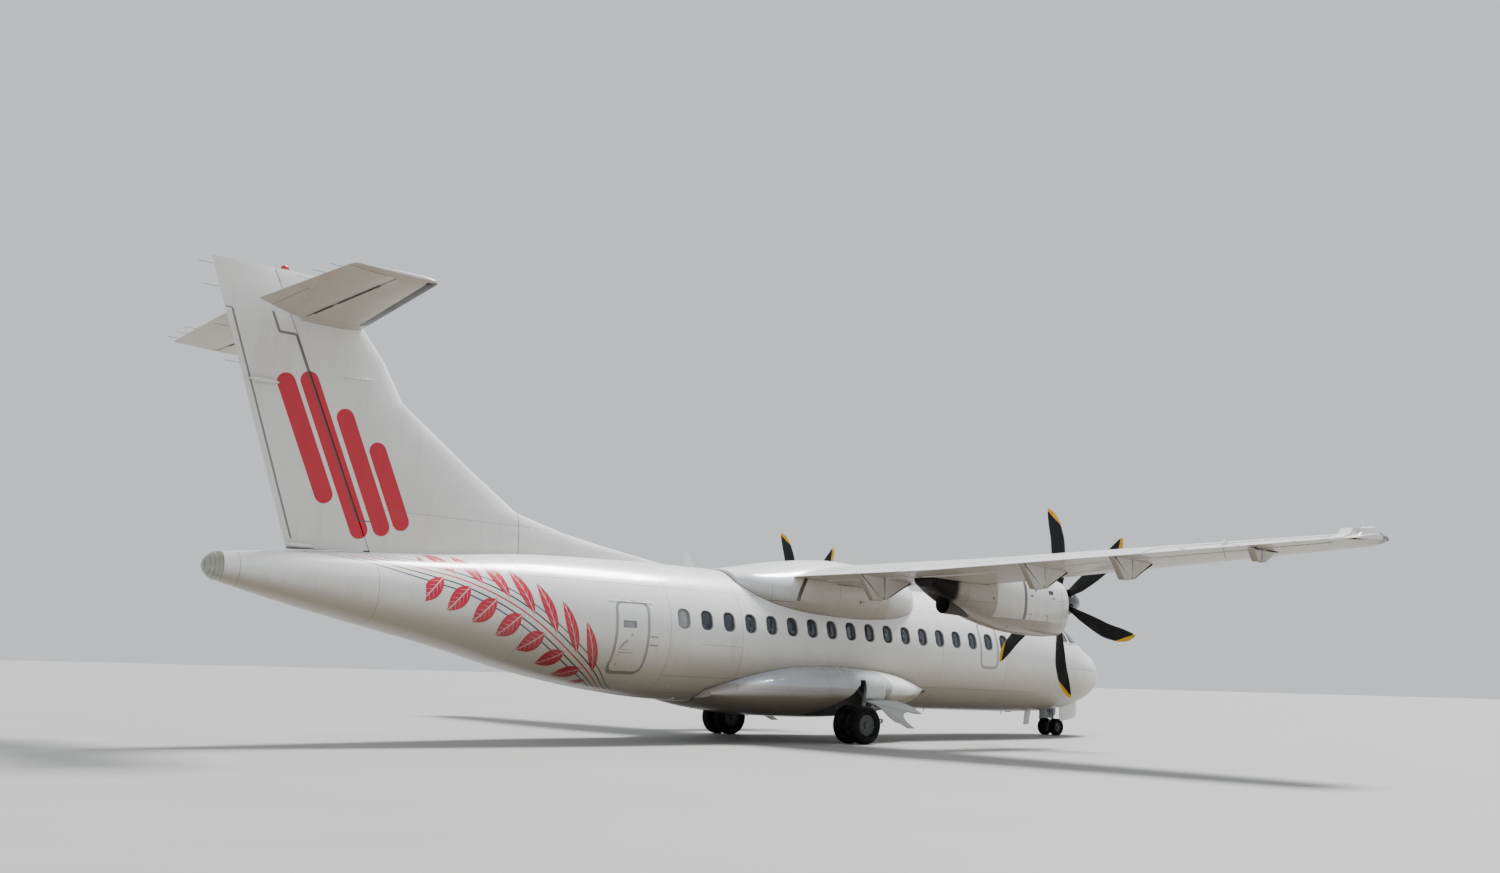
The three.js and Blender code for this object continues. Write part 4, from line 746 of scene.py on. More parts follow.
def glazed():
    bm = bmesh.new()
    for side in (1, -1):
        prism(bm, FRONT_PANE, side * CENTRE_POST, side * 1.5, 0.05)
        for outline in SIDE_PANES:
            prism(bm, outline, side * 0.3, side * 1.5, 0.06)
    return bm


def glazing_band():
    bm = bmesh.new()
    prism(bm, GLAZING, -1.5, 1.5)
    return bm


windscreen_glass = mottled("windscreen_glass", 3, 2, (0.01, 0.013, 0.018), (0.03, 0.036, 0.045),
                           roughness=0.04, coat=0.7, IOR=1.5)
recess = piece(glazing_band(), "glazing_recess", reveal)
carve(recess, hull("inside", -GLAZING_DEPTH - TOOL_EXCESS, reveal))
carve(fuselage, recess)
even_light(fuselage, whole_hull)
bpy.data.objects.remove(whole_hull)
fitted(fuselage, "airframe", "white", "fuselage")
post_paint = paint("window_frame_paint", colour=(0.78, 0.78, 0.76))
frame_piece = piece(glazing_band(), "windscreen_frame", post_paint)
frame_piece = between(frame_piece, 0.0015, -GLAZING_DEPTH, post_paint)
carve(frame_piece, piece(glazed(), "openings", reveal))
fitted(frame_piece, "airframe", "white", "windscreen")
cockpit_panes = piece(glazed(), "cockpit_panes", windscreen_glass)
fitted(between(cockpit_panes, -0.004, -0.016, windscreen_glass), "airframe", "glass")

# Tail lamp: a clear dome over an olive-grey housing.
# It closes the end of the tail cone and is screwed to its last ring.
TAIL_END = 22.2503
TAIL_PROFILE = [(0, 0.238), (0.045, 0.236), (0.09, 0.226), (0.14, 0.203), (0.18, 0.172), (0.215, 0.136),
                (0.245, 0.096), (0.264, 0.05), (0.272, 0)]


def lathe(bm, profile, centre, axis, segments=48, closed=False):
    """Adds a body turned about a level axis; its profile is distances along the axis and radii."""
    turn = Vector(axis).to_track_quat("Z", "Y").to_matrix().to_4x4()
    place = Matrix.Translation(centre) @ turn
    verts = [bm.verts.new(place @ Vector((radius, 0, along))) for along, radius in profile]
    pairs = list(zip(verts, verts[1:])) + ([(verts[-1], verts[0])] if closed else [])
    edges = [bm.edges.new(pair) for pair in pairs]
    bmesh.ops.spin(bm, geom=verts + edges, cent=centre, axis=axis, angle=2 * math.pi, steps=segments,
                   use_merge=True)
    bmesh.ops.remove_doubles(bm, verts=bm.verts, dist=1e-6)


lens, net, shader = material("lamp_dome", roughness=0.08, coat=0.8)
place = net.group("level_place")
rings = net.fade(net.math("PINGPONG", place["Station"], 0.03), 0.004, 0.002)
inside = net.mix(net.noise(place["Point"], 9, 3), (0.2, 0.21, 0.16), (0.38, 0.39, 0.32))
net.feed(shader.inputs["Base Color"], net.mix(rings, inside, (0.12, 0.12, 0.1)))
dome = bmesh.new()
lathe(dome, [(0, 0), *TAIL_PROFILE], (-TAIL_END, 0, 2.56), (-1, 0, 0), 64)
fitted(piece(dome, "tail_lamp_dome", lens), "airframe", "lens", "tail_lens")

# Wing fairing: a fibre saddle over the crown that hides the wing's middle.
# Its panels are screwed along their edges and sealed where they meet the fuselage.
# Columns: station, half width, top, bottom, height of the widest line
SADDLE = [
    (7.15, 0.33, 3.335, 2.9, 3.15), (7.48, 0.93, 3.44, 2.5, 2.98), (8.0, 1.29, 3.57, 2.3, 2.93),
    (8.6, 1.43, 3.68, 2.18, 2.93), (9.6, 1.475, 3.745, 2.1, 2.93), (10.7, 1.45, 3.64, 2.13, 2.93),
    (11.6, 1.33, 3.48, 2.25, 2.93), (12.15, 1.15, 3.385, 2.45, 2.96), (12.48, 0.88, 3.335, 2.75, 3.01),
]


def beside_tube(net, place, low=False):
    """A dark line of sealant where a fairing meets the fuselage's straight part."""
    _, half_width, top, bottom, widest = smooth_row(FUSELAGE, MAIN_GEAR)
    power, rise = (LOWER_POWER, widest - bottom) if low else (UPPER_POWER, top - widest)
    wide = (abs(place["Offset"]) / half_width) ** power
    tall = abs((place["Height"] - widest) / rise) ** power
    return net.fade(wide + tall, 1.022, 1.014)


# Columns: station of an upright seam, then heights; height of a level one, then stations
SADDLE_RINGS = [(8.2, 2, 4), (9.11, 2, 2.8), (10.22, 2, 3.2), (11.345, 2, 2.76), (11.87, 2.72, 3.03)]
SADDLE_LEVELS = [(2.722, 11.345, 11.87), (3.145, 9.53, 10.29), (2.84, 9.525, 9.65)]
# Columns: station, height and size of a round opening
SADDLE_HOLES = [(9.64, 2.835, 0.07), (12.54, 2.752, 0.04)]


def saddle_lines(net, place):
    station, height = place["Station"], place["Height"]
    seams = [beside_tube(net, place)]
    seams += [seam(net, station, at, 0.006, height, low, high) for at, low, high in SADDLE_RINGS]
    seams += [seam(net, height, at, 0.012, station, first, last) for at, first, last in SADDLE_LEVELS]
    for middle, rise, size in SADDLE_HOLES:
        seams.append(net.fade(from_box(net, place, middle, rise, size, size, size / 2), 0.003, -0.003))
    lean = height - 2.75
    slot = band(net, station + lean * lean, 11.225, 11.315) * span(net, height, 2.75, 3.23)
    # Painted light: the front stays white, the middle is tan as painted shade, the rear blue-grey as painted
    # sky reflection and the crown lighter as a painted highlight.
    front = net.mix(net.fade(station, 8.78, 8.72), (0.68, 0.645, 0.58), WHITE)
    colour = net.mix(net.fade(station, 11.3, 11.32), front, (0.7, 0.72, 0.73))
    crown = net.fade(height, 3.2, 3.3)
    return net.mix(crown, colour, (0.86, 0.86, 0.84)), net.most(slot * 1.4, *seams)


saddle_paint = paint("saddle_paint", lines=saddle_lines)
saddle_stations = spread(7.15, 12.48, 48) + [12.48]
saddle = piece(oval_body(SADDLE, saddle_stations, 80, powers=(2.4, 2.2)), "wing_fairing_shell", saddle_paint)
fitted(saddle, "airframe", "white_composite", "wing_fairing")

# Gear fairing: fibre blisters along the belly that house the main legs, open below over the wheels.
# They are screwed together of painted panels, with a dark lamp window in each nose; their tones are painted
# highlight, reflection and shade.
# Columns: station, half width, top, bottom, height of the widest line
BLISTER = [
    (7.3, 1.17, 1.15, 1.02, 1.1), (7.45, 1.25, 1.2, 0.95, 1.1), (7.65, 1.36, 1.27, 0.87, 1.1),
    (8.05, 1.58, 1.4, 0.74, 1.08), (8.6, 1.8, 1.52, 0.61, 1.06),
    (9.3, 1.93, 1.585, 0.5, 1.05), (10.3, 1.97, 1.61, 0.455, 1.04), (11.3, 1.92, 1.56, 0.465, 1.01),
    (12.2, 1.73, 1.39, 0.54, 0.95), (12.9, 1.44, 1.14, 0.66, 0.9), (13.25, 1.18, 0.96, 0.77, 0.87),
]
WHEEL_WELL = [(9.37, 0.3), (9.37, 1.24), (10.01, 1.24), (10.06, 1.14), (10.34, 0.91), (10.51, 0.82),
              (10.79, 0.65), (11.13, 0.45), (11.3, 0.3)]
WELL_WALL = 1.18


def arc_seam(net, place, first, middle, bend, width=0.006):
    """A seam round a blister: the station where it crosses the middle height, and how far it bends aft."""
    away = place["Height"] - middle
    return seam(net, place["Station"] - away * away * bend, first, width)


def blister_lines(net, place):
    station, height = place["Station"], place["Height"]
    seams = [arc_seam(net, place, 10.86, 1.13, 2.6), arc_seam(net, place, 10.28, 1.15, 2.7),
             arc_seam(net, place, 12.74, 1.2, 1.9), arc_seam(net, place, 9.08, 1.16, 2.9, 0.004),
             seam(net, height, 0.99, 0.004, station, 11.0, 12.7), beside_tube(net, place, low=True)]
    # Painted light: the nose is white above as a painted sunlit highlight and tan below as painted shade; aft
    # of it the side is blue-grey above as painted sky reflection and brown below as painted shade.
    nose = net.mix(net.fade(height, 1.02, 0.96), (0.93, 0.93, 0.92), (0.6, 0.57, 0.5))
    body = net.mix(net.fade(height, 1.1, 1.05), (0.53, 0.56, 0.59), (0.42, 0.4, 0.36))
    away = height - 1.16
    colour = net.mix(net.fade(station - away * away * 2.9, 9.07, 9.09), nose, body)
    depth = 1.1 - height
    past_lamp = station - depth * 2.2 - (7.62 - depth * 1.45)
    lamp_window = net.fade(past_lamp, 0.004, -0.004) * span(net, height, 0.86, 1.115)
    return net.mix(lamp_window, colour, (0.012, 0.013, 0.016)), net.most(*seams)


# The blisters' faces that point down get a stronger painted shade than the skin's.
blister_paint = paint("gear_fairing_paint", lines=blister_lines, under=1.25)
well_paint = mottled("well_lining", 6, 4, (0.03, 0.03, 0.028), (0.12, 0.115, 0.105), roughness=0.7)


def blister_body(name, finish, grow=0.0):
    stations = spread(7.3, 13.25, 64) + [13.25]
    return piece(oval_body(BLISTER, stations, 96, powers=(2.5, 2.6), grow=grow), name, finish)


blister = blister_body("gear_fairing_shell", blister_paint)
for side in (1, -1):
    well = bmesh.new()
    prism(well, WHEEL_WELL, side * WELL_WALL, side * 2.3)
    carve(blister, piece(well, "well", well_paint))
fitted(blister, "airframe", "grey", "gear_fairing")

# Wing: aluminium skins on two spars, painted white, with rubber boots along its leading edges.
# The flaps and ailerons hang on it; below each flap hinge is a thin canoe, split at the pivot.


def dress(name, finish, angle=32):
    """Gives a plain node its finish and lets light run smoothly over its facets."""
    node = nodes[name]
    node.data.materials.clear()
    node.data.materials.append(finish)
    if "custom_normal" in node.data.attributes:
        node.data.attributes.remove(node.data.attributes["custom_normal"])
    node.data.shade_smooth()
    weld = node.modifiers.new("weld", "WELD")
    weld.merge_threshold = 0.0002
    split = node.modifiers.new("edges", "EDGE_SPLIT")
    split.split_angle = math.radians(angle)
    return node


# Columns: offset, leading edge station, chord, leading edge height, trailing edge height, thickness
WING = [(0, 8.75, 2.57, 3.365, 3.235, 0.46), (4.9, 8.75, 2.57, 3.365, 3.235, 0.46),
        (11.99, 9.035, 1.43, 3.6, 3.51, 0.205), (12.2, 9.11, 1.29, 3.612, 3.52, 0.15),
        (12.285, 9.3, 0.95, 3.622, 3.535, 0.07)]
WING_BEND = 4.9
RIBS = (2.3, 3.4, WING_BEND, 5.9, 7.1, 8.3, 9.6, 10.8, 11.9)


def plain_row(table, value):
    """A table's row at a value of its first column, on straight lines between its rows."""
    i = max(n for n in range(len(table) - 1) if n == 0 or table[n][0] <= value)
    low, high = table[i], table[i + 1]
    share = (value - low[0]) / (high[0] - low[0])
    return (value, *(a + (b - a) * share for a, b in zip(low[1:], high[1:])))


def wing_point(offset, share, face, grow=0.0):
    """The level point of the wing at a share of its chord; face is 1 above, -1 below and 0 between."""
    _, leading, chord, leading_height, trailing_height, thickness = plain_row(WING, abs(offset))
    leading, chord, thickness = leading - grow, chord + 2 * grow, thickness + 2 * grow
    fullness = 10 * (0.2969 * math.sqrt(share) - 0.126 * share - 0.3516 * share ** 2 + 0.2843 * share ** 3
                     - 0.1036 * share ** 4)
    half = max(thickness / 2 * fullness, 0.004)
    middle = leading_height + (trailing_height - leading_height) * share + 0.08 * chord * share * (1 - share)
    return Vector((-leading - share * chord, offset, middle + face * half))


def wing_solid(grow):
    shares = [0, 0.012, 0.05, 0.13, 0.26, 0.42, 0.6, 0.8, 1]
    offsets = [-row[0] for row in reversed(WING)] + [row[0] for row in WING[1:]]
    return tube([[wing_point(offset, share, 1, grow) for share in reversed(shares)]
                 + [wing_point(offset, share, -1, grow) for share in shares[1:]] for offset in offsets])


def wing_lines(net, place):
    station, across = place["Station"], abs(place["Offset"])
    outward = net.most(across - WING_BEND, 0)
    swept = station - outward * 0.04
    hinged = station + outward * 0.0785
    below = place["Facing"] < 0
    lines = [seam(net, across, at, 0.005) for at in RIBS]
    lines += [seam(net, across, at, 0.014) * (hinged > 10.63) for at in (4.05, 8.98, 11.86)]
    lines += [seam(net, swept, 9.12), seam(net, station + outward * 0.074, 10.46),
              seam(net, hinged, 10.02, 0.008) * below,
              band(net, hinged, 10.628, 10.655) * below * span(net, across, 1.56, 11.85)]
    boot = net.fade(swept, 8.9, 8.89) * net.fade(across, 4.7, 4.71)
    lamp_glass = net.fade(across, 12.13, 12.14) * net.fade(station, 9.42, 9.41)
    colour = net.mix(boot, WHITE, (0.03, 0.03, 0.032))
    return net.mix(lamp_glass, colour, (0.2, 0.17, 0.16)), net.most(*lines), boot * 0.8


wing_paint = paint("wing_paint", lines=wing_lines)
dress("wing", wing_paint)
SIDES = ((1, "left"), (-1, "right"))
for _, word in SIDES:
    for panel in ("aileron_", "inner_flap_", "outer_flap_"):
        dress(panel + word, wing_paint)

# Wing tips: on each, a small fibre plate that stands up behind the lamp glass, riveted along its foot.
# It rises to a rounded corner and is painted as the wing.
TIP_PLATE = [(9.13, 3.59), (9.14, 3.66), (9.3, 3.675), (9.56, 3.775), (9.935, 3.725), (9.965, 3.65),
             (10.12, 3.56), (10.3, 3.53), (10.28, 3.5), (9.7, 3.54)]


def slab(bm, outline, near, far, corner, edge):
    """Adds a plate of an outline of stations and heights, its corners rounded and its rims softened."""
    part = bmesh.new()
    prism(part, outline, near, far, corner)
    rims = [line for line in part.edges if abs(line.verts[0].co.y - line.verts[1].co.y) < 1e-6]
    soften(part, rims, edge, 3)
    mesh = bpy.data.meshes.new("part")
    part.to_mesh(mesh)
    part.free()
    bm.from_mesh(mesh)
    bpy.data.meshes.remove(mesh)


for side, word in SIDES:
    tip = bmesh.new()
    slab(tip, TIP_PLATE, side * 12.17, side * 12.24, 0.015, 0.022)
    fitted(piece(tip, "wing_tip_plate_" + word, wing_paint), "airframe", "white")

# Hinge fairings: thin fibre canoes under the flap and aileron hinges, split at the pivot.
# The rear half of each swings with its surface; a small fin on each aileron covers the rod of its tab.
FLAP_SHARE = 0.735
FLAP_HINGES = [("inner", 3.05), ("outer", 6.75), ("outer", 8.45)]
CANOE_HALF_WIDTH = 0.062
AILERON_CANOE = 10.7
TAB_ROD = 10.25
# The canoes' tan grey is darker than the wing's white as painted shade under the wing.
canoe_paint = paint("canoe_paint", colour=(0.64, 0.62, 0.57))


def canoe(outline, middle, name, body):
    bm = bmesh.new()
    slab(bm, outline, middle - CANOE_HALF_WIDTH, middle + CANOE_HALF_WIDTH, 0.02, 0.024)
    fitted(piece(bm, name, canoe_paint, smooth=50), body, "white_composite")


for side, word in SIDES:
    for panel, offset in FLAP_HINGES:
        middle = side * offset
        chord = plain_row(WING, offset)[2]
        leading, trailing = -wing_point(middle, 0, 0).x, -wing_point(middle, 1, 0).x
        size = chord / WING[0][2]
        pivot = leading + FLAP_SHARE * chord - 0.025
        drop = wing_point(middle, FLAP_SHARE, -1).z - 0.33 * size

        def under(share):
            return wing_point(middle, share, -1).z

        front = [(leading + 0.43 * chord, under(0.44) + 0.03), (pivot - 0.09 * size, drop - 0.06 * size),
                 (pivot - 0.006, drop - 0.075 * size), (pivot - 0.006, under(0.71) + 0.03)]
        rear = [(pivot + 0.007, drop), (pivot + 0.007 + 0.078 * size, drop - 0.1 * size),
                (pivot + 0.33 * size, drop - 0.105 * size), (pivot + 0.37 * size, drop - 0.06 * size),
                (trailing - 0.012, under(0.99) + 0.003), (leading + 0.8 * chord, under(0.8) + 0.03),
                (pivot + 0.037, under(FLAP_SHARE + 0.03) + 0.02)]
        tag = "_".join((panel, str(round(offset * 100)), word))
        canoe(front, middle, "hinge_canoe_front_" + tag, "airframe")
        canoe(rear, middle, "hinge_canoe_rear_" + tag, panel + "_flap_" + word + "_surface")
    front = [(9.72, 3.449), (10.09, 3.243), (10.175, 3.24), (10.185, 3.44)]
    rear = [(10.215, 3.44), (10.25, 3.24), (10.33, 3.24), (10.46, 3.44)]
    canoe(front, side * AILERON_CANOE, "hinge_canoe_front_aileron_" + word, "airframe")
    canoe(rear, side * AILERON_CANOE, "hinge_canoe_rear_aileron_" + word, "aileron_surface_" + word)
    horn = bmesh.new()
    slab(horn, [(10.32, 3.5), (10.425, 3.61), (10.57, 3.46), (10.45, 3.44)], side * TAB_ROD - 0.012,
         side * TAB_ROD + 0.012, 0.01, 0.004)
    rod(horn, (-10.48, side * TAB_ROD, 3.46), (-10.41, side * TAB_ROD, 3.31), 0.011, sides=8)
    fitted(piece(horn, "tab_rod_fairing_" + word, wing_paint), "aileron_surface_" + word, "white")


# Fin, rudder and tailplane: fibre skins in white paint, with dark gaps at their hinges.
# The fin carries four plain crimson bars that lean with its hinge line and cross it.
# Columns: station and height of a bar's middle, half length
BARS = [(19.55, 4.12, 0.62), (20.03, 4.3, 0.95), (20.55, 4.52, 1.28), (21.06, 4.74, 0.95)]
BAR_HALF_WIDTH = 0.155
BAR_LEAN = math.atan(0.44)

# Columns: height and width of a level seam, then its first and last station
FIN_LEVELS = [(6.66, 0.018, 22.4, 22.62), (6.41, 0.04, 21.36, 21.63), (3.5, 0.02, 19.85, 20.1),
              (2.95, 0.03, 19.8, 21.2), (3.72, 0.005, 16, 20)]

net, get, put = new_group("bar", ["X", "Z", "Middle X", "Middle Z", "Half Length", "Half Width"], ["Mask"])
x, z = get["X"] - get["Middle X"], get["Z"] - get["Middle Z"]
along = x * math.sin(BAR_LEAN) + z * math.cos(BAR_LEAN)
beside = x * math.cos(BAR_LEAN) - z * math.sin(BAR_LEAN)
past = net.most(abs(along) - get["Half Length"], 0)
away = net.math("SQRT", past * past + beside * beside)
net.feed(put["Mask"], net.fade(away - get["Half Width"], 0.004, -0.004))


def fin_lines(net, place):
    station, height = place["Station"], place["Height"]
    hinge = station - height * 0.44
    seams = [seam(net, station, 16.985, 0.012),
             seam(net, station - height * 0.3539, 20.043, 0.03, height, 3.1, 6.66),
             band(net, hinge, 18.5, 18.55) * span(net, height, 3.5, 6.42),
             seam(net, hinge, 18.805, 0.04, height, 6.4, 6.72)]
    seams += [seam(net, height, at, width, station, first, last) for at, width, first, last in FIN_LEVELS]
    colour = WHITE
    for middle, rise, half in BARS:
        bar = net.group("bar", X=station, Z=height, Middle_X=middle, Middle_Z=rise, Half_Length=half,
                        Half_Width=BAR_HALF_WIDTH)["Mask"]
        colour = net.mix(bar, colour, (0.6, 0.003, 0.028))
    return colour, net.most(*seams)


fin_paint = paint("fin_paint", lines=fin_lines)
for name in ("fin", "dorsal_fin", "fin_tip", "rudder"):
    dress(name, fin_paint)


def tailplane_lines(net, place):
    station, across = place["Station"], abs(place["Offset"])
    slots = [span(net, across, low, high) for low, high in ((0.62, 1.35), (1.5, 2.95))]
    slot = net.most(*slots) * (place["Height"] < 6.74) * band(net, station, 21.3, 21.352)
    lines = [slot * 1.3, seam(net, station, 21.96, 0.016, across, 0.43, 1.9),
             seam(net, across, 3.48, 0.008), seam(net, across, 0.45, 0.008)]
    lines += [seam(net, across, at, 0.012) * (station > 21.96) for at in (0.43, 1.9)]
    boot = net.fade(station - across * 0.14, 20.41, 20.4) * span(net, across, 0.45, 3.6)
    return net.mix(boot, WHITE, (0.025, 0.025, 0.027)), net.most(*lines), boot * 0.8


tailplane_paint = paint("tailplane_paint", lines=tailplane_lines)
for name in ("tailplane", "elevator_left", "elevator_right"):
    dress(name, tailplane_paint)

# Nacelles: each an aluminium and fibre cowl under the wing's leading edge, over the engine and its intake.
# The exhaust leaves by a sooty pipe low at the back; the sides have latches, louvres and a metal strap.
# Columns: station, half width, top, bottom, height of the widest line
NACELLE = [
    (6.61, 0.335, 3.35, 2.345, 2.9), (6.68, 0.4, 3.42, 2.3, 2.89), (7.2, 0.455, 3.505, 2.265, 2.89),
    (8.1, 0.475, 3.575, 2.3, 2.92), (8.9, 0.47, 3.6, 2.42, 2.96), (9.6, 0.425, 3.56, 2.6, 3.01),
    (10.2, 0.34, 3.48, 2.83, 3.11), (10.56, 0.255, 3.4, 3.02, 3.2),
]
ENGINE_OFFSET = 4.05
PROPELLER_HEIGHT = 3.014
PIPE_RADIUS = 0.19
# Columns: station, height, length and height of a dark opening in the cowl's side
COWL_SLOTS = [(7.8, 3.16, 0.05, 0.09), (7.94, 3.02, 0.09, 0.03), (7.31, 3.12, 0.15, 0.08),
              (7.24, 3.01, 0.1, 0.02), (9.09, 2.89, 0.05, 0.05), (8.44, 2.38, 0.07, 0.05),
              (7.94, 2.6, 0.012, 0.11), (7.41, 2.6, 0.012, 0.11), (7.98, 2.655, 0.09, 0.01),
              (7.45, 2.655, 0.09, 0.01)]
# Columns: station of an upright seam, its width, then heights; height of a level one, then stations
COWL_RINGS = [(8.99, 0.01, 2.4, 3.7), (6.93, 0.007, 2.2, 3.7), (9.75, 0.007, 2.4, 3.7),
              (7.28, 0.007, 2.2, 2.54)]
COWL_LAPS = [(2.54, 7.28, 9.02), (2.98, 6.6, 7.06), (2.8, 9.0, 10.3)]


def cowl_lines(net, place):
    station, height = place["Station"], place["Height"]
    seams = [seam(net, station, at, width, height, low, high) for at, width, low, high in COWL_RINGS]
    seams += [seam(net, height, at, 0.007, station, first, last) for at, first, last in COWL_LAPS]
    for mark in COWL_SLOTS:
        seams.append(net.fade(from_box(net, place, *mark, min(mark[2:]) * 0.3), 0.004, -0.002) * 1.5)
    strap = band(net, station, 8.085, 8.175) * span(net, height, 2.55, 3.45)
    middle_part = net.mix(net.fade(station, 8.16, 8.19), WHITE, (0.76, 0.75, 0.72))
    # The aft cowl and the cowl's lower middle are tan, darkened as painted shade under the wing.
    aft = net.most(net.fade(station, 8.97, 9.01), net.fade(height, 2.55, 2.53) * net.fade(station, 6.6, 7.6))
    colour = net.mix(strap, net.mix(aft, middle_part, (0.43, 0.39, 0.33)), (0.2, 0.17, 0.17))
    streaks = net.fade(net.noise(net.scaled(place["Point"], 1, 4, 6), 1.6, 4), 0.2, 0.8)
    soot = net.fade(station, 9.3, 10.3) * net.fade(height, 3.2, 2.8) * streaks
    # The cowl's end, aft and low, is near-black and metallic.
    black_end = net.fade(station, 9.9, 10.05) * net.fade(height, 3.22, 3.16)
    colour = net.mix(soot, colour, (0.16, 0.14, 0.12))
    return net.mix(black_end, colour, (0.012, 0.011, 0.01)), net.most(*seams), black_end * 0.85


cowl_paint = paint("cowl_paint", lines=cowl_lines, under=0.8)
soot_black = mottled("sooty_steel", 22, 4, (0.015, 0.014, 0.013), (0.09, 0.075, 0.06), roughness=0.75,
                     metallic=0.4)
for side, word in SIDES:
    middle = side * ENGINE_OFFSET
    stations = [6.61, 6.625, 6.65, 6.68] + spread(6.72, 10.56, 52) + [10.56]
    cowl = oval_body(NACELLE, stations, 72, offset=middle, powers=(2.3, 2.5))
    cowl = piece(cowl, "cowl_" + word, cowl_paint)
    pipe = bmesh.new()
    rod(pipe, (-8.95, middle, 2.7), (-11.2, middle, 2.76), PIPE_RADIUS, sides=48)
    carve(cowl, piece(pipe, "pipe_hole", soot_black))
    scoop = bmesh.new()
    box(scoop, (-6.5, middle - 0.21, 2.39), (-7.05, middle + 0.21, 2.6), 0.09, axis=0)
    carve(cowl, piece(scoop, "scoop", soot_black))
    carve(cowl, piece(wing_solid(TOOL_EXCESS), "wing_room", cowl_paint))
    fitted(cowl, "airframe", "white_composite", "nacelle_" + word)
    lip = bmesh.new()
    lathe(lip, [(0, 0.186), (0.98, 0.18), (0.98, 0.172), (0, 0.176)], (-9.05, middle, 2.703), (-1, 0, 0.027),
          closed=True)
    fitted(piece(lip, "exhaust_pipe_" + word, soot_black), "airframe", "engine_block")
    trim = bmesh.new()
    lathe(trim, [(0, 0.318), (0.022, 0.322), (0.03, 0.312), (0, 0.306)],
          (-6.6, middle, PROPELLER_HEIGHT), (1, 0, 0), 64, True)
    fitted(piece(trim, "spinner_seal_" + word, soot_black), "airframe", "engine_block")

# Propellers: six swept blades of black composite on each, with ochre tips, in cuffs of a black spinner.
# The paint of the tip also runs down the trailing edge; a metal strip guards the leading edge.
PROPELLER_STATION = 6.469
# Columns: radius, chord, thickness, pitch in degrees, sweep against the turn
BLADE = [
    (0.15, 0.118, 0.116, 42, 0), (0.32, 0.15, 0.105, 40, -0.012), (0.6, 0.24, 0.056, 28, -0.034),
    (1.2, 0.312, 0.028, 11, -0.038), (1.6, 0.29, 0.016, 5, 0.02), (1.85, 0.19, 0.01, 2, 0.092),
    (1.965, 0.046, 0.005, 1, 0.16),
]
BLADE_COUNT = 6
# Columns: distance ahead of the base, radius
SPINNER = [(0, 0.303), (0.07, 0.3035), (0.14, 0.303), (0.22, 0.296), (0.33, 0.275), (0.42, 0.246),
           (0.5, 0.212), (0.58, 0.17), (0.65, 0.125), (0.7, 0.086), (0.735, 0.048), (0.755, 0)]
SPINNER_BASE = 6.59

composite, net, shader = material("blade_composite", roughness=0.38, coat=0.05, Specular_IOR_Level=0.2)
chordwise, outward = (net.add("Attribute", output="Fac", attribute_name=key) for key in ("chord", "radius"))
grain = net.noise(net.group("level_place")["Point"], 7, 5)
black = net.mix(grain, (0.004, 0.004, 0.005), (0.014, 0.014, 0.015))
ahead_of = net.math("SUBTRACT", 1, chordwise / 0.8, clamp=True)
tip = net.fade(outward - (1.91 - ahead_of ** 1.3 * 0.34), -0.004, 0.004)
ochre = net.mix(net.fade(grain, 0.45, 0.7), (0.72, 0.4, 0.015), (0.58, 0.31, 0.015))
strip = net.fade(chordwise, 0.07, 0.05) * span(net, outward, 0.55, 1.66)
painted = net.mix(tip, black, ochre)
net.feed(shader.inputs["Base Color"], net.mix(strip * 0.5, painted, (0.11, 0.11, 0.11)))
net.feed(shader.inputs["Roughness"], grain * 0.25 + 0.3)
spinner_black = mottled("spinner_black", 11, 4, (0.008, 0.008, 0.009), (0.03, 0.03, 0.033), (0.25, 0.3),
                        roughness=0.35, coat=0.4)


def blade_ring(radius, points):
    """A blade's section at a radius, its leading edge first and then once round."""
    _, chord, thickness, pitch, sweep = smooth_row(BLADE, radius)
    twist = math.radians(pitch)
    ring = []
    for n in range(points):
        turn = 2 * math.pi * n / points
        along = math.cos(turn) * 0.5
        out = math.sin(turn) * (0.75 + 0.25 * math.cos(turn)) + 0.18 * math.sin(turn / 2) ** 2
        u, v = along * chord, out * thickness / 2
        ring.append((Vector((u * math.sin(twist) + v * math.cos(twist),
                             v * math.sin(twist) - u * math.cos(twist) + sweep, radius)), 0.5 - along))
    return ring


def blade_turn(start, n):
    return math.radians(start) + 2 * math.pi * n / BLADE_COUNT


def blades(bm, centre, start, points=20):
    """Adds the blades, with each point's share of the chord and radius kept for the paint."""
    layers = bm.verts.layers.float
    chord, outward = (layers.get(key) or layers.new(key) for key in ("chord", "radius"))
    radii = spread(0.15, 1.8, 30) + spread(1.8, 1.965, 12) + [1.965]
    steps = len(radii) - 1
    for n in range(BLADE_COUNT):
        place = Matrix.Translation(centre) @ Matrix.Rotation(blade_turn(start, n), 4, "X")
        grid = bmesh.ops.create_grid(bm, x_segments=points, y_segments=steps, size=1)["verts"]
        for vert in grid:
            column, row = round((vert.co.x + 1) / 2 * points) % points, round((vert.co.y + 1) / 2 * steps)
            spot, share = blade_ring(radii[row], points)[column]
            vert.co = place @ spot
            vert[chord], vert[outward] = share, radii[row]
        bmesh.ops.remove_doubles(bm, verts=grid, dist=1e-6)
    bmesh.ops.holes_fill(bm, edges=[edge for edge in bm.edges if edge.is_boundary], sides=0)


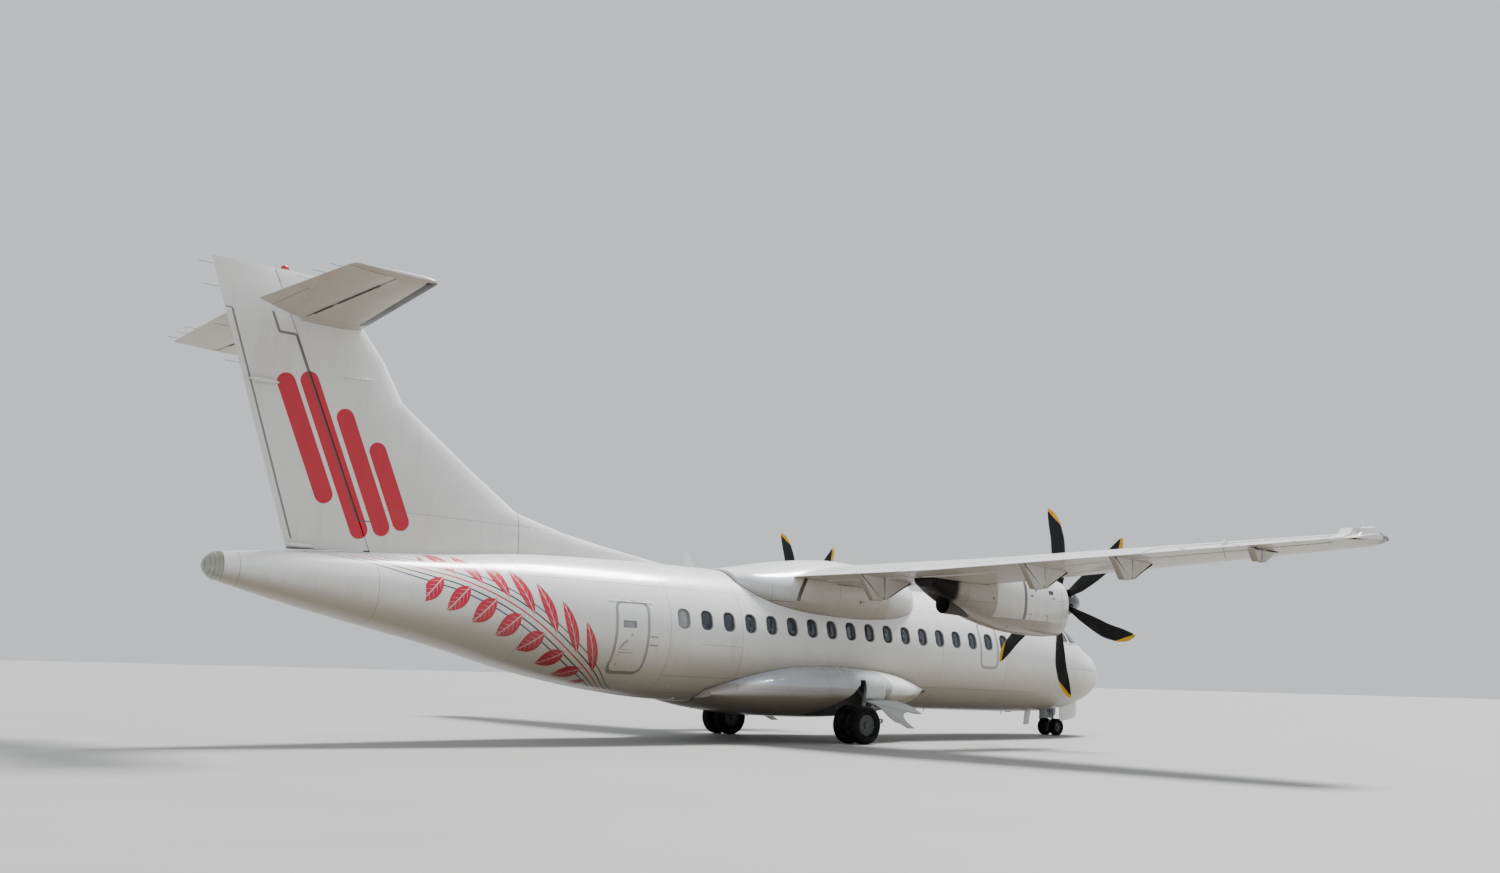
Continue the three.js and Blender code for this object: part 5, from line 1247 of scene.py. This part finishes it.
for side, word, start in ((1, "left", -11.8), (-1, "right", -4.2)):
    middle = side * ENGINE_OFFSET
    centre = (-PROPELLER_STATION, middle, PROPELLER_HEIGHT)
    fan = bmesh.new()
    blades(fan, centre, start)
    hub = [(-0.1, 0), (-0.1, 0.2), (-0.09, 0.205), (0.08, 0.205), (0.089, 0.2), (0.089, 0)]
    lathe(fan, hub, centre, (1, 0, 0))
    rod(fan, (-6.52, middle, PROPELLER_HEIGHT), (-6.76, middle, PROPELLER_HEIGHT), 0.036, sides=24)
    fitted(piece(fan, "propeller_blades_" + word, composite), "propeller_" + word, "blade", "blades_" + word)
    cone = bmesh.new()
    lathe(cone, [(0, 0), *SPINNER], (-SPINNER_BASE, middle, PROPELLER_HEIGHT), (1, 0, 0), 72)
    cone = piece(cone, "spinner_cone_" + word, spinner_black)
    cuffs = bmesh.new()
    for n in range(BLADE_COUNT):
        out = Vector((0, -math.sin(blade_turn(start, n)), math.cos(blade_turn(start, n))))
        rod(cuffs, Vector(centre) + out * 0.22, Vector(centre) + out * 0.45, 0.092, sides=32)
    carve(cone, piece(cuffs, "cuffs", spinner_black))
    fitted(cone, "propeller_" + word, "blade", "spinner_" + word)

# Tyres: black rubber with four grooves round each tread, greyed by dust on the sidewalls.
# Each main leg carries a twin pair, and the nose leg a smaller one.
WHEELBASE = 8.78
NOSE_GEAR = MAIN_GEAR - WHEELBASE
LEG_OFFSET = 2.05
MAIN_TYRE = {"radius": 0.375, "rim": 0.205, "half": 0.108, "offset": 0.212, "axle": 0.375}
NOSE_TYRE = {"radius": 0.205, "rim": 0.108, "half": 0.088, "offset": 0.17,
             "axle": 0.205 + WHEELBASE * math.tan(NOSE_DOWN)}
GROOVES = (-0.42, -0.14, 0.14, 0.42)


def tyre_profile(tyre):
    rim, wall = tyre["rim"], tyre["radius"] - tyre["rim"]
    outline = [(-0.62, 0), (-0.82, 0.06), (-0.97, 0.28), (-1, 0.5), (-0.97, 0.7), (-0.88, 0.86),
               (-0.74, 0.945)]
    tread = []
    for middle in GROOVES:
        crown = 0.98 + 0.02 * (1 - abs(middle) / 0.6)
        tread += [(middle - 0.055, crown), (middle - 0.035, crown - 0.045), (middle + 0.035, crown - 0.045),
                  (middle + 0.055, crown)]
    profile = outline + [(-0.6, 0.978)] + tread + [(0.6, 0.978)]
    profile += [(-x, share) for x, share in reversed(outline)]
    return [(x * tyre["half"], rim + share * wall) for x, share in profile]


rubber, net, shader = material("tyre_rubber", roughness=0.85, Specular_IOR_Level=0.15)
place = net.group("level_place")
dust = net.noise(place["Point"], 9, 5)
scuff = net.noise(net.scaled(place["Point"], 30, 5, 30), 1.0, 3)
worn = net.fade(dust, 0.4, 0.75) * net.fade(scuff, 0.3, 0.7)
# Painted shade: the rubber is darkened to near black as the tyres stand in shade; dust and scuffs grey it.
net.feed(shader.inputs["Base Color"], net.mix(worn, (0.004, 0.004, 0.004), (0.022, 0.021, 0.02)))
net.feed(shader.inputs["Roughness"], dust * 0.25 + 0.7)
net.feed(shader.inputs["Normal"], net.add("Bump", {"Height": scuff, "Distance": 0.001, "Strength": 0.5}))


def tyre_piece(name, tyre, centre):
    bm = bmesh.new()
    lathe(bm, tyre_profile(tyre), centre, (0, 1, 0), 72, closed=True)
    return piece(bm, name, rubber, smooth=30)


for side, word in SIDES:
    for place_word, way in (("outer", 1), ("inner", -1)):
        name = "main_tyre_" + place_word + "_" + word
        centre = (-MAIN_GEAR, side * (LEG_OFFSET + way * MAIN_TYRE["offset"]), MAIN_TYRE["axle"])
        fitted(tyre_piece("grooved_" + name, MAIN_TYRE, centre), "main_wheel_pair_" + word, "tyre", name)
    name = "nose_tyre_" + word
    centre = (-NOSE_GEAR, side * NOSE_TYRE["offset"], NOSE_TYRE["axle"])
    fitted(tyre_piece("grooved_" + name, NOSE_TYRE, centre), "nose_wheel_pair", "tyre", name)

# Wheels: forged aluminium halves in grey paint, dished outside.
# Each has a ring of bolts that holds the halves together and a small ring of six studs round its axle.
WHEEL_PROFILE = [(-0.9, 0), (-0.62, 0.9975), (0.62, 0.9975), (0.7, 0.985), (0.7, 0.95), (0.62, 0.93),
                 (0.56, 0.88), (0.52, 0.5), (0.54, 0.38), (0.62, 0.34), (0.76, 0.31), (0.8, 0.27), (0.8, 0)]
WHEEL_FACE = 0.53
# Two rings of bolts. Columns: number, turn in steps, radius of the ring as a share of the rim's, length,
# further length as a share of the tyre's half width, radius of a bolt as a share of the rim's, softening
WHEEL_BOLTS = [(10, 0, 0.68, 0.012, 0, 0.045, 0.001), (6, 0.5, 0.2, 0, 0.3, 0.03, 0)]
wheel_paint, net, shader = material("wheel_paint", roughness=0.45, metallic=0.25)
dust = net.noise(net.group("level_place")["Point"], 16, 4)
dusted = net.mix(net.fade(dust, 0.35, 0.75), (0.055, 0.06, 0.06), (0.035, 0.034, 0.032))
net.feed(shader.inputs["Base Color"], dusted)
net.feed(shader.inputs["Roughness"], dust * 0.3 + 0.35)


def crosswise(bm, station, middle, height, reach, radius, sides=32, edge=0.0):
    """A rod from side to side."""
    rod(bm, (-station, middle - reach, height), (-station, middle + reach, height), radius, sides=sides,
        edge=edge)


def wheel_pair(name, tyre, station, middle, reach, radius):
    """Two wheels back to back on one axle."""
    bm = bmesh.new()
    profile = [(x * tyre["half"], share * tyre["rim"]) for x, share in WHEEL_PROFILE]
    for way in (1, -1):
        centre = Vector((-station, middle + way * tyre["offset"], tyre["axle"]))
        lathe(bm, profile, centre, (0, way, 0), 48)
        face = centre + Vector((0, way * WHEEL_FACE * tyre["half"], 0))
        for count, shift, ring, length, share, size, edge in WHEEL_BOLTS:
            out = Vector((0, way * (length + share * tyre["half"]), 0))
            for n in range(count):
                turn = 2 * math.pi * (n + shift) / count
                foot = face + Vector((math.cos(turn), 0, math.sin(turn))) * tyre["rim"] * ring
                rod(bm, foot, foot + out, tyre["rim"] * size, sides=6, edge=edge)
    crosswise(bm, station, middle, tyre["axle"], reach, radius, 24)
    return piece(bm, name, wheel_paint)


for side, word in SIDES:
    pair = wheel_pair("main_wheel_discs_" + word, MAIN_TYRE, MAIN_GEAR, side * LEG_OFFSET, 0.2, 0.038)
    fitted(pair, "main_wheel_pair_" + word, "wheel", "main_wheels_" + word)
pair = wheel_pair("nose_wheel_discs", NOSE_TYRE, NOSE_GEAR, 0, 0.17, 0.024)
fitted(pair, "nose_wheel_pair", "wheel", "nose_wheels")

# Main gear legs: forged steel in grey enamel, each with a trailing arm, a side brace and a shock strut.
# Multi-disc brakes sit on the arm between the twin wheels; hoses are clipped along the column.
steel = mottled("leg_enamel", 14, 4, (0.16, 0.165, 0.17), (0.3, 0.31, 0.32), roughness=0.45, metallic=0.2)
chrome = mottled("strut_chrome", 30, 2, (0.55, 0.56, 0.57), (0.7, 0.71, 0.72), roughness=0.12, metallic=1.0)
hose_rubber = mottled("hose_rubber", 25, 3, (0.01, 0.01, 0.01), (0.05, 0.048, 0.045), roughness=0.7)
brake_iron = mottled("brake_iron", 35, 4, (0.07, 0.06, 0.055), (0.2, 0.15, 0.12), roughness=0.55,
                     metallic=0.7)
ARM = [(9.66, 0.425), (9.66, 0.53), (9.805, 0.555), (10.302, 0.445), (10.322, 0.375), (10.282, 0.3),
       (10.172, 0.3), (9.745, 0.39)]
# Columns: start and end as station, offset and height, radius at each end
STRUTS = [((9.745, 2.05, 0.47), (9.755, 1.76, 1.2697), 0.062, 0.078),
          ((9.99, 1.976, 0.708), (9.79, 1.86, 1.13), 0.044, 0.044),
          ((9.745, 1.99, 0.72), (9.835, 1.39, 1.2697), 0.034, 0.034),
          ((9.75, 1.94, 0.8), (9.79, 2.079, 0.8), 0.02, 0.02),
          ((9.748, 1.965, 0.72), (9.36, 2.079, 0.72), 0.02, 0.02),
          ((9.752, 1.85, 1.02), (9.75, 2.012, 1.02), 0.018, 0.018),
          ((9.745, 1.97, 0.47), (9.745, 2.13, 0.47), 0.056, 0.056),
          ((10.12, 1.975, 0.44), (10.12, 2.125, 0.44), 0.042, 0.042),
          ((9.79, 1.8, 1.13), (9.79, 1.92, 1.13), 0.055, 0.055),
          ((9.749, 1.945, 0.76), (9.751, 1.915, 0.84), 0.082, 0.082),
          ((9.68, 2.05, 0.475), (9.6, 2.05, 0.46), 0.024, 0.024)]
HOSES = [[(9.84, 1.8, 1.2), (9.83, 1.93, 0.95), (9.82, 2.03, 0.68), (9.9, 2.12, 0.57), (10.08, 2.122, 0.51),
          (10.2, 2.118, 0.46)],
         [(9.86, 1.78, 1.2), (9.86, 1.9, 0.95), (9.85, 1.99, 0.66), (9.9, 1.98, 0.57), (10.08, 1.978, 0.51),
          (10.2, 1.982, 0.46)]]
# Columns: distance from the arm's middle, radius
BRAKE = [(0.064, 0.052), (0.064, 0.13), (0.07, 0.15), (0.076, 0.15), (0.078, 0.138), (0.083, 0.138),
         (0.085, 0.15), (0.098, 0.15), (0.103, 0.14), (0.103, 0.052)]
BRAKE_PISTONS = 5


def mirrored(side, point):
    station, offset, height = point
    return (-station, side * offset, height)


for side, word in SIDES:
    middle = side * LEG_OFFSET
    arm, hole = bmesh.new(), bmesh.new()
    slab(arm, ARM, middle - 0.062, middle + 0.062, 0.03, 0.012)
    crosswise(hole, MAIN_GEAR, middle, MAIN_TYRE["axle"], 0.1, 0.046)
    arm = carve(piece(arm, "trailing_arm_" + word, steel), piece(hole, "hole", steel))
    fitted(arm, "airframe", "leg", "main_leg_" + word)
    legs = bmesh.new()
    for start, end, first, last in STRUTS:
        rod(legs, mirrored(side, start), mirrored(side, end), first, last, sides=32, edge=0.004)
    ring = [(-0.02, 0.03), (-0.02, 0.052), (0.02, 0.052), (0.02, 0.03)]
    lathe(legs, ring, (-9.56, middle, 0.455), (0, 1, 0), 24, True)
    fitted(piece(legs, "main_leg_struts_" + word, steel), "airframe", "leg")
    bright = bmesh.new()
    rod(bright, mirrored(side, (10.12, 2.05, 0.44)), mirrored(side, (9.96, 1.957, 0.77)), 0.028, sides=32)
    fitted(piece(bright, "shock_rod_" + word, chrome), "airframe", "leg")
    hoses = bmesh.new()
    for path in HOSES:
        run(hoses, [mirrored(side, point) for point in path], 0.009)
    fitted(piece(hoses, "brake_hoses_" + word, hose_rubber), "airframe", "tyre")
    brakes = bmesh.new()
    for way in (1, -1):
        centre = Vector((-MAIN_GEAR, middle, MAIN_TYRE["axle"]))
        lathe(brakes, BRAKE, centre, (0, way, 0), 48, True)
        for n in range(BRAKE_PISTONS):
            turn = 2 * math.pi * (n + 0.5) / BRAKE_PISTONS
            spot = centre + Vector((math.cos(turn) * 0.115, way * 0.045, math.sin(turn) * 0.115))
            rod(brakes, spot, spot + Vector((0, way * 0.025, 0)), 0.024, sides=20, edge=0.003)
    fitted(piece(brakes, "brake_stacks_" + word, brake_iron), "airframe", "leg")

# Gear doors: fibre plates that hang on the legs, grey outside, with black rubber seals round their edges.
# The lower plate clears the wheels and sweeps forward in two horns; the upper one follows the blister.
door_grey = paint("gear_door_grey", colour=(0.36, 0.375, 0.38), under=0.3)
door_light = paint("gear_door_light", colour=(0.62, 0.64, 0.65), under=0.5)
GEAR_DOOR = [(10.12, 0.85), (9.5, 0.868), (9.17, 0.862), (8.86, 0.8), (8.65, 0.74), (8.42, 0.622),
             (8.6, 0.618), (8.83, 0.655), (8.935, 0.622), (8.95, 0.552), (8.87, 0.462), (8.71, 0.368),
             (8.62, 0.33), (8.8, 0.326), (9.05, 0.425), (9.18, 0.45), (9.34, 0.53), (9.54, 0.67),
             (9.77, 0.775)]
for side, word in SIDES:
    plate, seal, upper = bmesh.new(), bmesh.new(), bmesh.new()
    slab(plate, GEAR_DOOR, side * 2.08, side * 2.098, 0.02, 0.004)
    rim = [(-station, side * 2.089, height) for station, height in GEAR_DOOR + GEAR_DOOR[:2]]
    run(seal, rim, 0.008, sides=8)
    plate = piece(plate, "lower_gear_door_" + word, door_grey)
    fitted(plate, "airframe", "grey", "main_gear_door_" + word)
    fitted(piece(seal, "lower_door_seal_" + word, hose_rubber), "airframe", "tyre")
    side_box(upper, side, 9.4, 9.95, 0.872, 1.265, 0.04, near=1.3, far=2.3)
    upper = piece(upper, "upper_gear_door_" + word, door_light)
    carve(upper, blister_body("outside", door_light, 0.068), "INTERSECT")
    fitted(carve(upper, blister_body("inside", door_light, 0.05)), "airframe", "grey")

# Nose leg: a forward-set steel strut in its bay, with a drag brace behind, and the steered knuckle below it.
# The knuckle carries the axle, scissor links, a lug for towing and a small lamp.
NOSE_AXLE = NOSE_TYRE["axle"]
LINK = [(1.4, 0.6), (1.32, 0.56), (1.25, 0.47), (1.33, 0.38), (1.42, 0.36), (1.42, 0.4), (1.35, 0.44),
        (1.31, 0.48), (1.35, 0.53), (1.42, 0.56)]
NOSE_DOOR = [(0.86, 1.0), (1.5, 0.87), (1.5, 0.52), (1.44, 0.5), (0.93, 0.6), (0.86, 0.66)]


def upright(bm, low, high, radius, sides=40, edge=0.0):
    rod(bm, (-NOSE_GEAR, 0, low), (-NOSE_GEAR, 0, high), radius, sides=sides, edge=edge)


def bored(bm, name):
    """A part of the knuckle, with the hole for the axle through it."""
    hole = bmesh.new()
    crosswise(hole, NOSE_GEAR, 0, NOSE_AXLE, 0.1, 0.031)
    return carve(piece(bm, name, steel), piece(hole, "hole", steel))


leg, lines = bmesh.new(), bmesh.new()
upright(leg, 0.64, 1.33, 0.072, edge=0.006)
for low, high, radius in ((0.645, 0.68, 0.084), (0.79, 0.86, 0.086), (1.12, 1.24, 0.09)):
    upright(leg, low, high, radius, edge=0.008)
crosswise(leg, NOSE_GEAR, 0, 1.18, 0.322, 0.044)
for side in (1, -1):
    rod(leg, (-1.472, side * 0.05, 0.825), (-2.06, side * 0.13, 1.27), 0.024, sides=24, edge=0.003)
    rod(leg, (-1.62, side * 0.115, 0.86), (-1.62, side * 0.115, 1.05), 0.026, sides=20, edge=0.003)
    run(lines, [(-1.53, side * 0.03, 1.25), (-1.55, side * 0.035, 0.95), (-1.54, side * 0.03, 0.72)], 0.008)
crosswise(leg, 1.47, 0, 0.825, 0.09, 0.036, 24, 0.004)
fitted(piece(leg, "nose_leg_struts", steel), "airframe", "leg", "nose_leg")
fitted(piece(lines, "nose_leg_lines", hose_rubber), "airframe", "tyre")
knuckle, housing, bright = bmesh.new(), bmesh.new(), bmesh.new()
upright(knuckle, NOSE_AXLE, 0.52, 0.05, 32, 0.004)
upright(knuckle, 0.586, 0.634, 0.072, edge=0.006)
slab(knuckle, LINK, -0.028, 0.028, 0.008, 0.006)
box(knuckle, (-1.3, -0.034, 0.315), (-1.42, 0.034, 0.368), 0.01, axis=None, segments=2)
for side in (1, -1):
    rod(knuckle, (-1.33, side * 0.034, 0.47), (-1.33, side * 0.04, 0.47), 0.02, sides=16)
    rod(knuckle, (-1.4, side * 0.05, 0.5), (-1.37, side * 0.05, 0.5), 0.034, sides=24, edge=0.004)
crosswise(housing, NOSE_GEAR, 0, NOSE_AXLE, 0.066, 0.056, 40, 0.006)
fitted(bored(housing, "nose_axle_housing"), "nose_gear_steered", "leg")
fitted(bored(knuckle, "nose_knuckle_parts"), "nose_gear_steered", "leg", "nose_knuckle")
upright(bright, 0.5, 0.79, 0.034, 32)
fitted(piece(bright, "nose_shock_rod", chrome), "nose_gear_steered", "leg")
nose_door_white = paint("nose_door_white", under=0.5)
for side, word in SIDES:
    # Each door's dark grey lining, in leg enamel behind its white skin, is painted shade on the door's
    # inside.
    plate, lining = bmesh.new(), bmesh.new()
    slab(plate, NOSE_DOOR, side * 0.309, side * 0.3217, 0.03, 0.004)
    slab(lining, NOSE_DOOR, side * 0.3, side * 0.309, 0.03, 0.003)
    fitted(piece(plate, "nose_door_skin_" + word, nose_door_white), "airframe", "white", "nose_door_" + word)
    fitted(piece(lining, "nose_door_lining_" + word, steel), "airframe", "grey")
for name in ("engine_left", "engine_right"):
    dress(name, steel)

# Fittings on the skin: aerials, masts, jacking pads, hinge arms, a drip rail, strakes and tab rod fairings.
# Most are painted metal, riveted or screwed on. Fine wires at the trailing edges bleed off static, and a
# red beacon stands on the fin's tip.
aerial_paint = paint("aerial_paint", colour=(0.8, 0.8, 0.78), under=0.4)


def blade_aerial(name, outline, half=0.008):
    bm = bmesh.new()
    slab(bm, outline, -half, half, 0.012, half * 0.6)
    fitted(piece(bm, name, aerial_paint), "airframe", "white")


blade_aerial("ventral_aerial", [(2.24, 0.745), (2.45, 0.735), (2.51, 0.4), (2.32, 0.4)], 0.012)
blade_aerial("crown_aerial_rear", [(13.1, 3.31), (12.86, 3.31), (13.02, 3.62), (13.12, 3.62)])
blade_aerial("crown_aerial_front", [(5.6, 3.31), (5.36, 3.31), (5.52, 3.6), (5.62, 3.6)])
fittings = bmesh.new()
# Columns: station, offset, height and length of a mast under the belly
for station, offset, height, reach in ((6.397, -0.3, 0.72, 0.06), (3.34, 0, 0.71, 0.06),
                                       (14.18, -1.08, 1.02, 0.05)):
    rod(fittings, (-station, offset, height), (-station - 0.02, offset, height - reach - 0.03), 0.012, 0.007,
        sides=12)
for height in (1.855, 1.7):
    run(fittings, [on_skin(station, height, -1) for station in (14.7, 14.85)], 0.012)
fitted(piece(fittings, "masts_and_hinge_arms", metal), "airframe", "grey")
rail = bmesh.new()
run(rail, [on_skin(station, 2.462, -1, 0.002) for station in (14.78, 15.1, 15.42, 15.73)], 0.006)
fitted(piece(rail, "drip_rail", aerial_paint), "airframe", "white")
pads = bmesh.new()
for station, offset, height in ((3.1, 0, 0.684), (13.6, 0.45, 0.738), (13.6, -0.45, 0.738)):
    rod(pads, (-station, offset, height + 0.11), (-station, offset, height), 0.075, sides=32, edge=0.008)
fitted(piece(pads, "jacking_pads", metal), "airframe", "grey")
RUDDER_WIRES = [(22.8, 0, 7.3), (22.68, 0, 6.95), (22.45, 0, 6.35), (22.25, 0, 5.8)]
SIDE_WIRES = {"elevator_surface_": [(22.14, 2.3, 6.74), (22.11, 2.8, 6.74), (22.08, 3.3, 6.74)],
              "aileron_surface_": [(10.66, 9.7, 3.44), (10.59, 10.6, 3.47), (10.52, 11.5, 3.49)]}


def static_wires(body, side, roots):
    wires = bmesh.new()
    for root in roots:
        x, y, z = mirrored(side, root)
        rod(wires, (x + 0.05, y, z), (x - 0.2, y, z), 0.0035, sides=8)
    fitted(piece(wires, "static_wires_" + body, hose_rubber), body, "tyre")


static_wires("rudder_surface", 1, RUDDER_WIRES)
for kind, roots in SIDE_WIRES.items():
    for side, word in SIDES:
        static_wires(kind + word, side, roots)
STRAKE = [(20.02, 5.85), (20.53, 5.838), (20.53, 5.862), (20.02, 5.874)]
tail = bmesh.new()
for side in (1, -1):
    slab(tail, STRAKE, side * 0.05, side * 0.16, 0.004, 0.002)
fitted(piece(tail, "fin_strakes", aerial_paint), "airframe", "white")


def pod(bm, centre, reach, sides):
    """A long rounded body with half lengths along the three axes."""
    place = Matrix.Translation(centre) @ Matrix.Diagonal((*reach, 1))
    bmesh.ops.create_uvsphere(bm, u_segments=sides, v_segments=16, radius=1, matrix=place)


pods = bmesh.new()
for side, station, height in ((-1, 21.81, 5.572), (1, 21.81, 5.572), (-1, 21.0, 3.0)):
    pod(pods, (-station, side * 0.075, height), (0.25, 0.04, 0.04), 32)
fitted(piece(pods, "tab_rod_fairings", aerial_paint), "rudder_surface", "white")
beacon_glass = mottled("beacon_glass", 12, 2, (0.35, 0.01, 0.008), (0.5, 0.03, 0.02), roughness=0.1,
                       coat=0.8)
beacon = bmesh.new()
pod(beacon, (-21.6, 0, 7.475), (0.07, 0.035, 0.05), 24)
fitted(piece(beacon, "fin_beacon", beacon_glass), "airframe", "lens")
